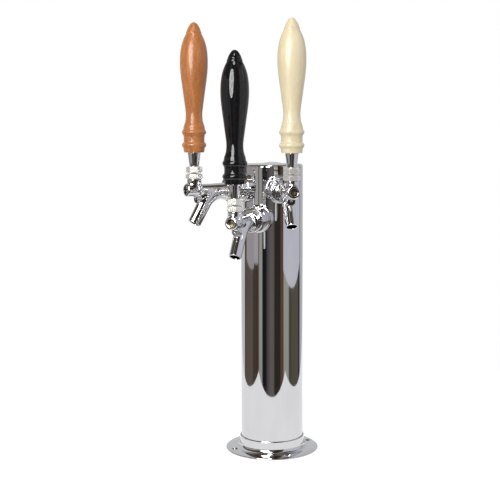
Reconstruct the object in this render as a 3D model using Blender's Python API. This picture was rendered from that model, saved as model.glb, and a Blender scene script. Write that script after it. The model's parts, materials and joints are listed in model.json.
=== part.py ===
"""Beer tower: a chromed column on a screwed flange, with three lever taps.

Metres, +Z up. The origin is under the middle of the whole object, on the face that
rests on the bar top. The taps point towards -Y: one straight ahead and one on each side.
A tap is modelled once, as if its shank axis started at the column's axis and ran along
-Y, and is then placed three times by an empty at the column's axis.
"""

import math

import bmesh
import bpy
from mathutils import Matrix, Vector

# Fits shared by every piece
GAP = 0.0003
CUT_OVERRUN = 0.001
WELD_DISTANCE = 0.0000005
SOLVER_SCALE = 1000

# Facets round a turned piece
COLUMN_SIDES = 36
SLEEVE_SIDES = 24
HANDLE_SIDES = 16
TAP_SIDES = 12
COUPLING_SIDES = 16
SMALL_SIDES = 10
TAIL_SIDES = 8
NUT_TURN_SIDES = 12
NUT_SIDES = 6
SHARP_ANGLE = math.radians(35)

# Column, cap and foam
TOWER_HEIGHT = 0.3556
COLUMN_D = 0.0762
COLUMN_WALL = 0.0012
CAP_SHOULDER_R = 0.0035
CAP_DOME_RISE = 0.0022
CAP_FLAT_WIDTH = 0.0161
CAP_WALL = 0.0015
CAP_SKIRT_DEPTH = 0.0105
FOAM_PLUG_THICK = 0.0100
SLEEVE_WALL = 0.0146
SLEEVE_BELOW_TAIL = 0.0045

# Base flange
FLANGE_MARGIN = 0.01905
FLANGE_THICK = 0.0030
FLANGE_EDGE_R = 0.0010
COLLAR_WALL = 0.0013
COLLAR_HEIGHT = 0.0170
COLLAR_EDGE_R = 0.0008
COLLAR_FILLET_R = 0.0055
LINE_LEDGE = 0.0051
SCREW_INSET = 0.0084
SCREW_HOLE_D = 0.0045
COUNTERSINK_D = 0.0080
SCREW_COUNT = 4

# Tap places: angle from straight ahead, and how far the shank lies below the tower's top
SIDE_TAP_ANGLE = math.radians(35)
SIDE_TAP_DROP = 0.03175
CENTER_TAP_DROP = 0.0671

# Shank and what clamps it to the column
SHANK_D = 0.0180
SHANK_BORE_D = 0.0064
SHANK_REAR = 0.0200
SHANK_COLLAR_D = 0.0238
SHANK_COLLAR_LENGTH = 0.0020
SHANK_CHAMBER_D = 0.0144
SHANK_CHAMBER_LENGTH = 0.0060
SADDLE_D = 0.0340
SADDLE_LENGTH = 0.0126
SADDLE_LIP = 0.0055
SADDLE_BARREL_D = 0.0306
SADDLE_EDGE = 0.0010
WASHER_D = 0.0280
WASHER_THICK = 0.0036
LOCK_NUT_AF = 0.0240
LOCK_NUT_LENGTH = 0.0042

# Coupling nut and its gasket
COUPLING_LENGTH = 0.0135
COUPLING_D = 0.0306
COUPLING_LIP = 0.0022
COUPLING_BORE_D = 0.0250
COUPLING_EDGE = 0.0016
SPANNER_SLOT_COUNT = 6
SPANNER_SLOT_WIDTH = 0.0036
SPANNER_SLOT_DEPTH = 0.0011
SPANNER_SLOT_LENGTH = 0.0060
GASKET_THICK = 0.0018
GASKET_BORE_D = 0.0150

# Elbow that takes the beer line
TAIL_D = 0.0078
TAIL_BORE_D = 0.0044
TAIL_BEND_R = 0.0060
TAIL_INSERT = 0.0060
TAIL_DROP = 0.0220
BARB_D = 0.0094
BARB_PITCH = 0.0040
BARB_COUNT = 2

# Tap body
BODY_RECESS = 0.0030
BARREL_D = 0.0136
HUB_D = 0.0158
HUB_LENGTH = 0.0165
HUB_EDGE = 0.0018
HUB_OVERHANG = 0.0115
BODY_BORE_D = 0.0091
COUPLING_TO_LEVER = 0.0435
NECK_D = 0.0170
NECK_TOP = 0.0126
NECK_ROOT_D = 0.0130
NECK_ROOT_DEPTH = 0.0020
NECK_SHOULDER = 0.0042
NECK_BORE_D = 0.0144
NECK_FLOOR = 0.0050
SPOUT_D = 0.0168
SPOUT_END_D = 0.0160
SPOUT_WIDTH_SHARE = 0.86
SPOUT_BORE_D = 0.0120
SPOUT_OVERHANG = 0.0002
SPOUT_DROP = 0.0398
SPOUT_LEAN = math.radians(30)
BEND_START = 0.0070
BEND_DROP = 0.0034
BEND_START_D = 0.0172
FLARE_D = 0.0200
VENT_BOSS_D = 0.0104
VENT_BOSS_DROP = 0.0106
VENT_BOSS_SETBACK = 0.0018
VENT_D = 0.0018

# Lever, ball joint and nuts
LEVER_TRAVEL = math.radians(22)
PIVOT_HEIGHT = 0.0097
BALL_D = 0.0090
STUD_D = 0.0052
FINGER_D = 0.0030
FINGER_BALL_D = 0.0044
BUSHING_MOUTH_D = 0.0080
FRICTION_WASHER_THICK = 0.0019
BONNET_AF = 0.0178
BONNET_HEIGHT = 0.0064
BONNET_TOP_CHAMFER = math.radians(45)
JAM_AF = 0.0168
JAM_HEIGHT = 0.0073
JAM_LIFT = 0.0011
JAM_RIM = 0.0004
JAM_RIM_SHARE = 0.98
JAM_HOLLOW = math.radians(36)
NUT_LAND_SHARE = 0.94
NUT_CHAMFER = math.radians(30)

# Shaft and seat
SHAFT_INSET = 0.0055
SHAFT_GUIDE_LENGTH = 0.0150
SHAFT_ROD_D = 0.0040
SHAFT_SHOULDER_D = 0.0072
SHAFT_SHOULDER_LENGTH = 0.0017
SHAFT_RELIEF_HEIGHT = 0.0022
SHAFT_RELIEF_LENGTH = 0.0088
SHAFT_TAIL = 0.0008
SEAT_WASHER_D = 0.0132
SEAT_WASHER_THICK = 0.0024
SHAFT_NUT_AF = 0.0065
SHAFT_NUT_LENGTH = 0.0026

# Ferrule and handle
FERRULE_D = 0.0113
FERRULE_TOP_D = 0.0154
FERRULE_HEIGHT = 0.0160
FERRULE_SPIGOT_D = 0.0094
FERRULE_SPIGOT = 0.0140
STUD_IN_FERRULE = 0.0135
HANDLE_LENGTH = 0.1524
HANDLE_BELLY_D = 0.0328

# Handle outline, from the flat foot up: share of its length, share of its belly radius
HANDLE_OUTLINE_SHARES = (
    (0.000, 0.730),
    (0.033, 0.762),
    (0.044, 0.840),
    (0.056, 0.872),
    (0.069, 0.840),
    (0.082, 0.756),
    (0.121, 0.750),
    (0.139, 0.830),
    (0.154, 0.872),
    (0.170, 0.830),
    (0.190, 0.762),
    (0.210, 0.720),
    (0.249, 0.616),
    (0.282, 0.595),
    (0.330, 0.620),
    (0.430, 0.745),
    (0.532, 0.878),
    (0.610, 0.963),
    (0.689, 1.000),
    (0.760, 0.975),
    (0.825, 0.870),
    (0.883, 0.683),
    (0.905, 0.585),
    (0.928, 0.525),
    (0.958, 0.400),
    (0.985, 0.245),
    (1.000, 0.000),
)

# Finishes: colour, roughness, metallic
CHROME = ((0.80, 0.80, 0.80), 0.08, 1.0)
NICKEL = ((0.78, 0.76, 0.72), 0.22, 1.0)
BRASS = ((0.72, 0.55, 0.28), 0.30, 1.0)
STEEL = ((0.55, 0.55, 0.56), 0.28, 1.0)
RUBBER = ((0.04, 0.04, 0.04), 0.70, 0.0)
NYLON = ((0.86, 0.85, 0.80), 0.45, 0.0)
FOAM = ((0.78, 0.76, 0.70), 0.95, 0.0)
ORANGE_WOOD = ((0.58, 0.24, 0.07), 0.30, 0.0)
BLACK_LACQUER = ((0.01, 0.01, 0.012), 0.12, 0.0)
PALE_WOOD = ((0.86, 0.72, 0.42), 0.35, 0.0)

# Places worked out from the sizes above
COLUMN_R = COLUMN_D / 2
COLUMN_INNER_R = COLUMN_R - COLUMN_WALL
CAP_DOME_R = COLUMN_R - CAP_FLAT_WIDTH
FLANGE_R = COLUMN_R + FLANGE_MARGIN
LINE_HOLE_R = COLUMN_R - LINE_LEDGE
SCREW_CIRCLE_R = FLANGE_R - SCREW_INSET
SLEEVE_BORE_R = COLUMN_INNER_R - GAP - SLEEVE_WALL
SLEEVE_TOP = TOWER_HEIGHT - CENTER_TAP_DROP - TAIL_DROP - SLEEVE_BELOW_TAIL
CAP_TOP = TOWER_HEIGHT - CAP_DOME_RISE
CAP_SEAM = CAP_TOP - CAP_SHOULDER_R
CAP_SKIRT_R = COLUMN_INNER_R - GAP
COLLAR_R = COLUMN_R + GAP + COLLAR_WALL
SADDLE_FRONT = COLUMN_R + SADDLE_LENGTH
COUPLING_REAR = SADDLE_FRONT + GAP
COUPLING_FRONT = COUPLING_REAR + COUPLING_LENGTH
LIP_FRONT = COUPLING_REAR + COUPLING_LIP
COLLAR_REAR = LIP_FRONT + GAP
SHANK_FRONT = COLLAR_REAR + SHANK_COLLAR_LENGTH
GASKET_REAR = SHANK_FRONT + GAP
BODY_REAR = GASKET_REAR + GASKET_THICK + GAP
SEAT_FACE = BODY_REAR + BODY_RECESS
BOSS_FRONT = COUPLING_FRONT + GAP
LEVER_REACH = COUPLING_FRONT + COUPLING_TO_LEVER
HUB_FRONT = LEVER_REACH + HUB_OVERHANG
SPOUT_REACH = LEVER_REACH + SPOUT_OVERHANG
VENT_BOSS_FRONT = LEVER_REACH - VENT_BOSS_SETBACK
SHAFT_FRONT = HUB_FRONT - SHAFT_INSET
COLUMN_Y = (LEVER_REACH + HANDLE_BELLY_D / 2 - FLANGE_R) / 2
BOSS_R = COUPLING_BORE_D / 2 - GAP
BALL_SEAT_R = BALL_D / 2 + GAP
NECK_FILL_R = NECK_BORE_D / 2 - GAP
FINGER_SLOT = FINGER_BALL_D + 2 * GAP
BUSHING_TOP = PIVOT_HEIGHT
FRICTION_BOTTOM = BUSHING_TOP + GAP
FRICTION_TOP = FRICTION_BOTTOM + FRICTION_WASHER_THICK
BONNET_BOTTOM = NECK_TOP + GAP
BONNET_TOP = BONNET_BOTTOM + BONNET_HEIGHT
JAM_BOTTOM = BONNET_TOP + JAM_LIFT
JAM_TOP = JAM_BOTTOM + JAM_HEIGHT
FERRULE_BOTTOM = JAM_TOP + GAP
FERRULE_TOP = FERRULE_BOTTOM + FERRULE_HEIGHT
HANDLE_BOTTOM = FERRULE_TOP + GAP
STUD_TOP = FERRULE_BOTTOM + STUD_IN_FERRULE
ARM_SWING = PIVOT_HEIGHT * math.sin(LEVER_TRAVEL)


def chord(radius, offset):
    """Half the width of a circle at this distance from its middle."""
    return math.sqrt(radius * radius - offset * offset)


def arc(centre, radius, start, end, steps):
    """Points (along, radius) on an arc; angles run from the radial direction."""
    along, out = centre
    points = []
    for step in range(steps + 1):
        angle = start + (end - start) * step / steps
        points.append((along + radius * math.sin(angle), out + radius * math.cos(angle)))
    return points


def mesh_from(shape):
    """A finished mesh from a bmesh, with its faces pointing out."""
    bmesh.ops.remove_doubles(shape, verts=shape.verts, dist=WELD_DISTANCE)
    bmesh.ops.recalc_face_normals(shape, faces=shape.faces)
    mesh = bpy.data.meshes.new("shape")
    shape.to_mesh(mesh)
    shape.free()
    return mesh


def bridged(shape, rings, closed):
    """Joins rings of points, each a full ring or a single point on the axis."""
    pairs = list(zip(rings, rings[1:]))
    if closed:
        pairs.append((rings[-1], rings[0]))
    for first, second in pairs:
        count = max(len(first), len(second))
        for index in range(count):
            after = (index + 1) % count
            if len(first) == 1:
                corners = (first[0], second[index], second[after])
            elif len(second) == 1:
                corners = (first[index], second[0], first[after])
            else:
                corners = (first[index], second[index], second[after], first[after])
            shape.faces.new(corners)


def turned(outline, sides):
    """An outline of (height, radius) points turned about Z, in order round its section."""
    shape = bmesh.new()
    rings = []
    for height, radius in outline:
        if radius == 0:
            rings.append([shape.verts.new((0, 0, height))])
            continue
        ring_points = []
        for side in range(sides):
            angle = math.tau * side / sides
            place = (radius * math.cos(angle), radius * math.sin(angle), height)
            ring_points.append(shape.verts.new(place))
        rings.append(ring_points)
    bridged(shape, rings, closed=outline[0][1] > 0)
    return mesh_from(shape)


def ring(bottom, top, bore_r, outer_r, sides):
    """A plain washer or tube standing on Z."""
    outline = ((bottom, bore_r), (bottom, outer_r), (top, outer_r), (top, bore_r))
    return turned(outline, sides)


def rod(bottom, top, radius, sides):
    """A plain solid cylinder standing on Z."""
    return turned(((bottom, 0), (bottom, radius), (top, radius), (top, 0)), sides)


def swept(stations, sides):
    """A tube through stations of (forward, height, pitch, radius) in a tap's own plane."""
    shape = bmesh.new()
    rings = []
    for forward, height, pitch, radius in stations:
        middle = Vector((0, -forward, height))
        side_way = Vector((1, 0, 0))
        up_way = Vector((0, math.sin(pitch), math.cos(pitch)))
        ring_points = []
        for side in range(sides):
            angle = math.tau * side / sides
            offset = side_way * math.cos(angle) + up_way * math.sin(angle)
            ring_points.append(shape.verts.new(middle + offset * radius))
        rings.append(ring_points)
    bridged(shape, rings, closed=False)
    shape.faces.new(rings[0])
    shape.faces.new(rings[-1])
    bmesh.ops.triangulate(shape, faces=shape.faces)
    return mesh_from(shape)


def block(low, high):
    """A box between two corners."""
    shape = bmesh.new()
    bmesh.ops.create_cube(shape, size=1)
    for vert in shape.verts:
        for axis in range(3):
            vert.co[axis] = high[axis] if vert.co[axis] > 0 else low[axis]
    return mesh_from(shape)


def linked(name, mesh):
    """A helper object in the scene."""
    helper = bpy.data.objects.new(name, mesh)
    bpy.context.scene.collection.objects.link(helper)
    return helper


def one_step(mesh, tool, operation):
    """The mesh after one Boolean step, with its slivers welded away."""
    host = linked("host", mesh)
    helper = linked("tool", tool)
    step = host.modifiers.new("step", "BOOLEAN")
    step.operation = operation
    step.solver = "EXACT"
    step.object = helper
    graph = bpy.context.evaluated_depsgraph_get()
    result = bpy.data.meshes.new_from_object(host.evaluated_get(graph))
    bpy.data.objects.remove(host)
    bpy.data.objects.remove(helper)
    shape = bmesh.new()
    shape.from_mesh(result)
    weld = WELD_DISTANCE * SOLVER_SCALE
    bmesh.ops.remove_doubles(shape, verts=shape.verts, dist=weld)
    bmesh.ops.dissolve_degenerate(shape, edges=shape.edges, dist=weld)
    shape.to_mesh(result)
    shape.free()
    return result


def combined(mesh, tools, operation):
    """The mesh after joining, cutting or keeping it in common with each tool in turn.

    The solver is steadier on shapes some units wide, so its work is done enlarged.
    """
    enlarge = Matrix.Scale(SOLVER_SCALE, 4)
    mesh.transform(enlarge)
    for tool in tools:
        tool.transform(enlarge)
        mesh = one_step(mesh, tool, operation)
    mesh.transform(enlarge.inverted())
    return mesh


def moved(mesh, matrix):
    """The same mesh, moved or turned."""
    mesh.transform(matrix)
    return mesh


def forward_facing(mesh):
    """Lays a piece modelled along Z down along a tap's axis, height becoming reach."""
    return moved(mesh, Matrix.Rotation(math.pi / 2, 4, "X"))


def at_lever(mesh):
    """Stands a piece modelled on Z on the lever's axis."""
    return moved(mesh, Matrix.Translation((0, -LEVER_REACH, 0)))


def hexagonal(mesh, across_flats, bottom, top):
    """Keeps what lies inside a hexagonal prism with flats facing forward and back."""
    corner_r = across_flats / 2 / math.cos(math.pi / NUT_SIDES)
    prism = rod(bottom - CUT_OVERRUN, top + CUT_OVERRUN, corner_r, NUT_SIDES)
    return combined(mesh, [prism], "INTERSECT")


def finish_of(name, finish):
    """A Principled material of this colour, roughness and metallic value."""
    colour, roughness, metallic = finish
    material = bpy.data.materials.new(name)
    material.use_nodes = True
    shader = material.node_tree.nodes["Principled BSDF"]
    shader.inputs["Base Color"].default_value = (*colour, 1)
    shader.inputs["Roughness"].default_value = roughness
    shader.inputs["Metallic"].default_value = metallic
    material.diffuse_color = (*colour, 1)
    return material


def add_piece(name, mesh, finish, parent=None):
    """A named object for one physical piece, kept where its mesh lies in the parent."""
    mesh.shade_smooth()
    mesh.set_sharp_from_angle(angle=SHARP_ANGLE)
    mesh.materials.clear()
    mesh.materials.append(finish_of(name, finish))
    piece = bpy.data.objects.new(name, mesh)
    bpy.context.scene.collection.objects.link(piece)
    piece.parent = parent
    return piece


def add_empty(name, place, turn=0.0, parent=None):
    """A guide that pieces are placed by."""
    guide = bpy.data.objects.new(name, None)
    bpy.context.scene.collection.objects.link(guide)
    guide.empty_display_size = COLUMN_WALL
    guide.parent = parent
    guide.location = place
    guide.rotation_euler.z = turn
    return guide


def base_flange():
    """Screwed base: a round plate with a filleted collar that the column drops into."""
    plate_top = FLANGE_THICK
    fillet_middle = (plate_top + COLLAR_FILLET_R, COLLAR_R + COLLAR_FILLET_R)
    outline = [(0, LINE_HOLE_R), (0, FLANGE_R)]
    rim_middle = (plate_top - FLANGE_EDGE_R, FLANGE_R - FLANGE_EDGE_R)
    outline += arc(rim_middle, FLANGE_EDGE_R, 0, math.pi / 2, 1)
    outline += arc(fillet_middle, COLLAR_FILLET_R, -math.pi / 2, -math.pi, 3)
    outline += arc(
        (COLLAR_HEIGHT - COLLAR_EDGE_R, COLLAR_R - COLLAR_EDGE_R),
        COLLAR_EDGE_R,
        0,
        math.pi / 2,
        1,
    )
    outline += [
        (COLLAR_HEIGHT, COLUMN_R + GAP),
        (plate_top, COLUMN_R + GAP),
        (plate_top, LINE_HOLE_R),
    ]
    plate = turned(outline, COLUMN_SIDES)
    sink_depth = (COUNTERSINK_D - SCREW_HOLE_D) / 2
    hole = (
        (-CUT_OVERRUN, 0),
        (-CUT_OVERRUN, SCREW_HOLE_D / 2),
        (plate_top - sink_depth, SCREW_HOLE_D / 2),
        (plate_top, COUNTERSINK_D / 2),
        (plate_top + CUT_OVERRUN, COUNTERSINK_D / 2),
        (plate_top + CUT_OVERRUN, 0),
    )
    cutters = []
    for index in range(SCREW_COUNT):
        angle = math.tau * (index + 1 / 2) / SCREW_COUNT
        place = Matrix.Rotation(angle, 4, "Z") @ Matrix.Translation((SCREW_CIRCLE_R, 0, 0))
        cutters.append(moved(turned(hole, SMALL_SIDES), place))
    return combined(plate, cutters, "DIFFERENCE")


def column_tube(tap_places):
    """Column with one round hole for each shank."""
    tube = ring(
        FLANGE_THICK + GAP, CAP_SEAM - GAP, COLUMN_INNER_R, COLUMN_R, COLUMN_SIDES
    )
    cutters = []
    for angle, height in tap_places:
        hole = forward_facing(
            rod(0, COLUMN_R + CUT_OVERRUN, SHANK_D / 2 + GAP, TAP_SIDES)
        )
        place = Matrix.Translation((0, 0, height)) @ Matrix.Rotation(angle, 4, "Z")
        cutters.append(moved(hole, place))
    return combined(tube, cutters, "DIFFERENCE")


def top_cap():
    """Pressed-in cap with a rounded shoulder and a shallow dome."""
    inner_top = CAP_TOP - CAP_WALL
    outline = [(TOWER_HEIGHT, 0)]
    dome_steps = 3
    for step in range(1, dome_steps + 1):
        share = step / dome_steps
        rise = CAP_DOME_RISE * (1 + math.cos(math.pi * share)) / 2
        outline.append((CAP_TOP + rise, CAP_DOME_R * share))
    outline += reversed(
        arc((CAP_SEAM, COLUMN_R - CAP_SHOULDER_R), CAP_SHOULDER_R, 0, math.pi / 2, 3)
    )
    outline += [
        (CAP_SEAM, CAP_SKIRT_R),
        (CAP_SEAM - CAP_SKIRT_DEPTH, CAP_SKIRT_R),
        (CAP_SEAM - CAP_SKIRT_DEPTH, CAP_SKIRT_R - CAP_WALL),
        (inner_top, CAP_SKIRT_R - CAP_WALL),
        (inner_top, 0),
    ]
    return turned(outline, COLUMN_SIDES)


def shank_flange():
    """Saddle between the column and the coupling nut."""
    barrel_r = SADDLE_BARREL_D / 2
    saddle_r = SADDLE_D / 2
    bore_r = SHANK_D / 2 + GAP
    lip_front = COLUMN_R + SADDLE_LIP
    start = chord(COLUMN_R, saddle_r) - CUT_OVERRUN
    outline = (
        (start, bore_r),
        (start, saddle_r),
        (lip_front - SADDLE_EDGE, saddle_r),
        (lip_front, saddle_r - SADDLE_EDGE),
        (lip_front, barrel_r),
        (SADDLE_FRONT - SADDLE_EDGE, barrel_r),
        (SADDLE_FRONT, barrel_r - SADDLE_EDGE),
        (SADDLE_FRONT, bore_r),
    )
    saddle = forward_facing(turned(outline, TAP_SIDES))
    column = rod(-SADDLE_D, SADDLE_D, COLUMN_R + GAP, COLUMN_SIDES)
    return combined(saddle, [column], "DIFFERENCE")


def saddle_washer():
    """Washer inside the column, flat for the lock nut and round against the wall."""
    washer_r = WASHER_D / 2
    rear = COLUMN_INNER_R - GAP - WASHER_THICK
    washer = forward_facing(
        ring(rear, COLUMN_R, SHANK_D / 2 + GAP, washer_r, TAP_SIDES)
    )
    column = rod(-WASHER_D, WASHER_D, COLUMN_INNER_R - GAP, COLUMN_SIDES)
    return combined(washer, [column], "INTERSECT")


def nut_outline(bottom, top, bore_r, bottom_land_r, top_land_r, outer_r):
    """Section of a nut before its flats are cut, chamfered at both ends."""
    slope = math.tan(NUT_CHAMFER)
    return (
        (bottom, bore_r),
        (bottom, bottom_land_r),
        (bottom + (outer_r - bottom_land_r) * slope, outer_r),
        (top - (outer_r - top_land_r) * slope, outer_r),
        (top, top_land_r),
        (top, bore_r),
    )


def lock_nut():
    """Hexagonal nut that pulls the shank and saddle tight from inside the column."""
    front = COLUMN_INNER_R - GAP - WASHER_THICK - GAP
    rear = front - LOCK_NUT_LENGTH
    land_r = LOCK_NUT_AF / 2 * NUT_LAND_SHARE
    outer_r = LOCK_NUT_AF / 2 / math.cos(math.pi / NUT_SIDES)
    outline = nut_outline(rear, front, SHANK_D / 2 + GAP, land_r, land_r, outer_r)
    nut = turned(outline, TAP_SIDES)
    return forward_facing(hexagonal(nut, LOCK_NUT_AF, rear, front))


def shank():
    """Threaded shank with the beer bore, the valve chamber and the front collar."""
    bore_r = SHANK_BORE_D / 2
    shank_r = SHANK_D / 2
    chamber_rear = SHANK_FRONT - SHANK_CHAMBER_LENGTH
    outline = (
        (SHANK_REAR, bore_r),
        (SHANK_REAR, shank_r),
        (COLLAR_REAR, shank_r),
        (COLLAR_REAR, SHANK_COLLAR_D / 2),
        (SHANK_FRONT, SHANK_COLLAR_D / 2),
        (SHANK_FRONT, SHANK_CHAMBER_D / 2),
        (chamber_rear, SHANK_CHAMBER_D / 2),
        (chamber_rear, bore_r),
    )
    return forward_facing(turned(outline, TAP_SIDES))


def tailpiece():
    """Barbed elbow in the shank's rear end, pointing down for the beer line."""
    shoulder = SHANK_REAR - GAP
    drop_reach = shoulder - TAIL_BEND_R
    spigot_r = SHANK_BORE_D / 2 - GAP
    wall_r = TAIL_D / 2
    outer = [
        (shoulder + TAIL_INSERT, 0, math.pi, spigot_r),
        (shoulder, 0, math.pi, spigot_r),
        (shoulder, 0, math.pi, wall_r),
    ]
    bend = []
    steps = 4
    for step in range(1, steps + 1):
        turn = math.pi / 2 * step / steps
        forward = shoulder - TAIL_BEND_R * math.sin(turn)
        height = TAIL_BEND_R * (math.cos(turn) - 1)
        bend.append((forward, height, math.pi + turn))
    outer += [(*station, wall_r) for station in bend]
    down = math.pi * 3 / 2
    outer.append((drop_reach, BARB_PITCH * BARB_COUNT - TAIL_DROP, down, wall_r))
    for barb in reversed(range(BARB_COUNT)):
        foot = BARB_PITCH * barb - TAIL_DROP
        outer.append((drop_reach, foot + BARB_PITCH, down, BARB_D / 2))
        outer.append((drop_reach, foot, down, wall_r))
    bore_r = TAIL_BORE_D / 2
    inner = [(shoulder + TAIL_INSERT + CUT_OVERRUN, 0, math.pi, bore_r)]
    inner.append((shoulder, 0, math.pi, bore_r))
    inner += [(*station, bore_r) for station in bend]
    inner.append((drop_reach, -TAIL_DROP - CUT_OVERRUN, down, bore_r))
    bore = swept(inner, TAIL_SIDES)
    return combined(swept(outer, TAIL_SIDES), [bore], "DIFFERENCE")


def coupling_nut():
    """Round nut with spanner slots that draws the tap body onto the shank."""
    nut_r = COUPLING_D / 2
    outline = [
        (COUPLING_REAR, SHANK_D / 2 + GAP),
        (COUPLING_REAR, nut_r - COUPLING_EDGE),
        (COUPLING_REAR + COUPLING_EDGE, nut_r),
    ]
    front_middle = (COUPLING_FRONT - COUPLING_EDGE, nut_r - COUPLING_EDGE)
    outline += arc(front_middle, COUPLING_EDGE, 0, math.pi / 2, 2)
    outline += [
        (COUPLING_FRONT, COUPLING_BORE_D / 2),
        (LIP_FRONT, COUPLING_BORE_D / 2),
        (LIP_FRONT, SHANK_D / 2 + GAP),
    ]
    nut = turned(outline, COUPLING_SIDES)
    middle = COUPLING_REAR + COUPLING_LENGTH / 2
    low = (
        nut_r - SPANNER_SLOT_DEPTH,
        -SPANNER_SLOT_WIDTH / 2,
        middle - SPANNER_SLOT_LENGTH / 2,
    )
    high = (
        nut_r + CUT_OVERRUN,
        SPANNER_SLOT_WIDTH / 2,
        middle + SPANNER_SLOT_LENGTH / 2,
    )
    cutters = []
    for index in range(SPANNER_SLOT_COUNT):
        turn = Matrix.Rotation(math.tau * index / SPANNER_SLOT_COUNT, 4, "Z")
        cutters.append(moved(block(low, high), turn))
    return forward_facing(combined(nut, cutters, "DIFFERENCE"))


def gasket():
    """Rubber gasket between the shank's collar and the tap body."""
    front = GASKET_REAR + GASKET_THICK
    return forward_facing(
        ring(GASKET_REAR, front, GASKET_BORE_D / 2, SHANK_COLLAR_D / 2, TAP_SIDES)
    )


def spout_stations():
    """Middle line and half depth of the bent spout from the coupling to its mouth."""
    dive = math.pi / 2 - SPOUT_LEAN
    slope_way = (math.sin(SPOUT_LEAN), -math.cos(SPOUT_LEAN))
    run = (SPOUT_DROP - BEND_DROP) / math.cos(SPOUT_LEAN)
    corner = SPOUT_REACH - run * math.sin(SPOUT_LEAN)
    bend_start = BOSS_FRONT + BEND_START
    bend_r = (corner - bend_start) / math.tan(dive / 2)
    start_r = BEND_START_D / 2
    spout_r = SPOUT_D / 2
    inside_r = BOSS_R - BEND_DROP - GAP
    stations = [
        (BOSS_FRONT - CUT_OVERRUN, -BEND_DROP, 0, inside_r),
        (BOSS_FRONT, -BEND_DROP, 0, inside_r),
        (BOSS_FRONT + GAP, -BEND_DROP, 0, FLARE_D / 2),
        ((BOSS_FRONT + bend_start) / 2, -BEND_DROP, 0, (FLARE_D + BEND_START_D) / 4),
    ]
    steps = 5
    for step in range(steps + 1):
        share = step / steps
        turn = dive * share
        forward = bend_start + bend_r * math.sin(turn)
        height = bend_r * (math.cos(turn) - 1) - BEND_DROP
        fade = max(0, 1 - 2 * share)
        stations.append((forward, height, -turn, spout_r + (start_r - spout_r) * fade))
    stations.append((SPOUT_REACH, -SPOUT_DROP, -dive, SPOUT_END_D / 2))
    return stations, slope_way, dive


def tap_body():
    """Cast body: rear boss, barrel, hub, neck, bent spout and vent boss, with its bores."""
    stations, slope_way, dive = spout_stations()
    boss = forward_facing(rod(BODY_REAR, BOSS_FRONT, BOSS_R, TAP_SIDES))
    hub_rear = HUB_FRONT - HUB_LENGTH
    barrel_r = BARREL_D / 2
    hub_r = HUB_D / 2
    barrel = forward_facing(
        turned(
            (
                (SEAT_FACE + CUT_OVERRUN, 0),
                (SEAT_FACE + CUT_OVERRUN, barrel_r),
                (hub_rear, barrel_r),
                (hub_rear + HUB_EDGE, hub_r),
                (HUB_FRONT - HUB_EDGE, hub_r),
                (HUB_FRONT, hub_r - HUB_EDGE / 2),
                (HUB_FRONT, 0),
            ),
            TAP_SIDES,
        )
    )
    neck = at_lever(
        turned(
            (
                (-NECK_ROOT_DEPTH, 0),
                (-NECK_ROOT_DEPTH, NECK_ROOT_D / 2),
                (NECK_SHOULDER, NECK_D / 2),
                (NECK_TOP, NECK_D / 2),
                (NECK_TOP, 0),
            ),
            TAP_SIDES,
        )
    )
    vent_boss = forward_facing(
        rod(VENT_BOSS_FRONT - 2 * VENT_BOSS_D, VENT_BOSS_FRONT, VENT_BOSS_D / 2, SMALL_SIDES)
    )
    moved(vent_boss, Matrix.Translation((0, 0, -VENT_BOSS_DROP)))
    narrower = Matrix.Diagonal((SPOUT_WIDTH_SHARE, 1, 1, 1))
    spout = moved(swept(stations, TAP_SIDES), narrower)
    body = combined(boss, [spout, barrel, neck, vent_boss], "UNION")

    recess = forward_facing(
        rod(BODY_REAR - CUT_OVERRUN, SEAT_FACE, GASKET_BORE_D / 2, TAP_SIDES)
    )
    bore = forward_facing(
        rod(SEAT_FACE - CUT_OVERRUN, HUB_FRONT + CUT_OVERRUN, BODY_BORE_D / 2, TAP_SIDES)
    )
    neck_bore = at_lever(
        rod(NECK_FLOOR, NECK_TOP + CUT_OVERRUN, NECK_BORE_D / 2, TAP_SIDES)
    )
    half_slot = FINGER_SLOT / 2
    window = block(
        (-half_slot, -LEVER_REACH - half_slot, 0),
        (half_slot, -LEVER_REACH + half_slot + ARM_SWING, NECK_FLOOR + CUT_OVERRUN),
    )
    overrun = (slope_way[0] * CUT_OVERRUN, slope_way[1] * CUT_OVERRUN)
    inlet = SPOUT_DROP / math.cos(SPOUT_LEAN) - GAP
    spout_bore = swept(
        (
            (
                SPOUT_REACH - slope_way[0] * inlet,
                -SPOUT_DROP - slope_way[1] * inlet,
                -dive,
                SPOUT_BORE_D / 2,
            ),
            (SPOUT_REACH + overrun[0], -SPOUT_DROP + overrun[1], -dive, SPOUT_BORE_D / 2),
        ),
        TAP_SIDES,
    )
    vent = forward_facing(
        rod(
            VENT_BOSS_FRONT - SPOUT_D,
            VENT_BOSS_FRONT + CUT_OVERRUN,
            VENT_D / 2,
            NUT_SIDES,
        )
    )
    moved(vent, Matrix.Translation((0, 0, -VENT_BOSS_DROP)))
    cutters = [recess, bore, neck_bore, window, spout_bore, vent]
    return combined(body, cutters, "DIFFERENCE")


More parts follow.
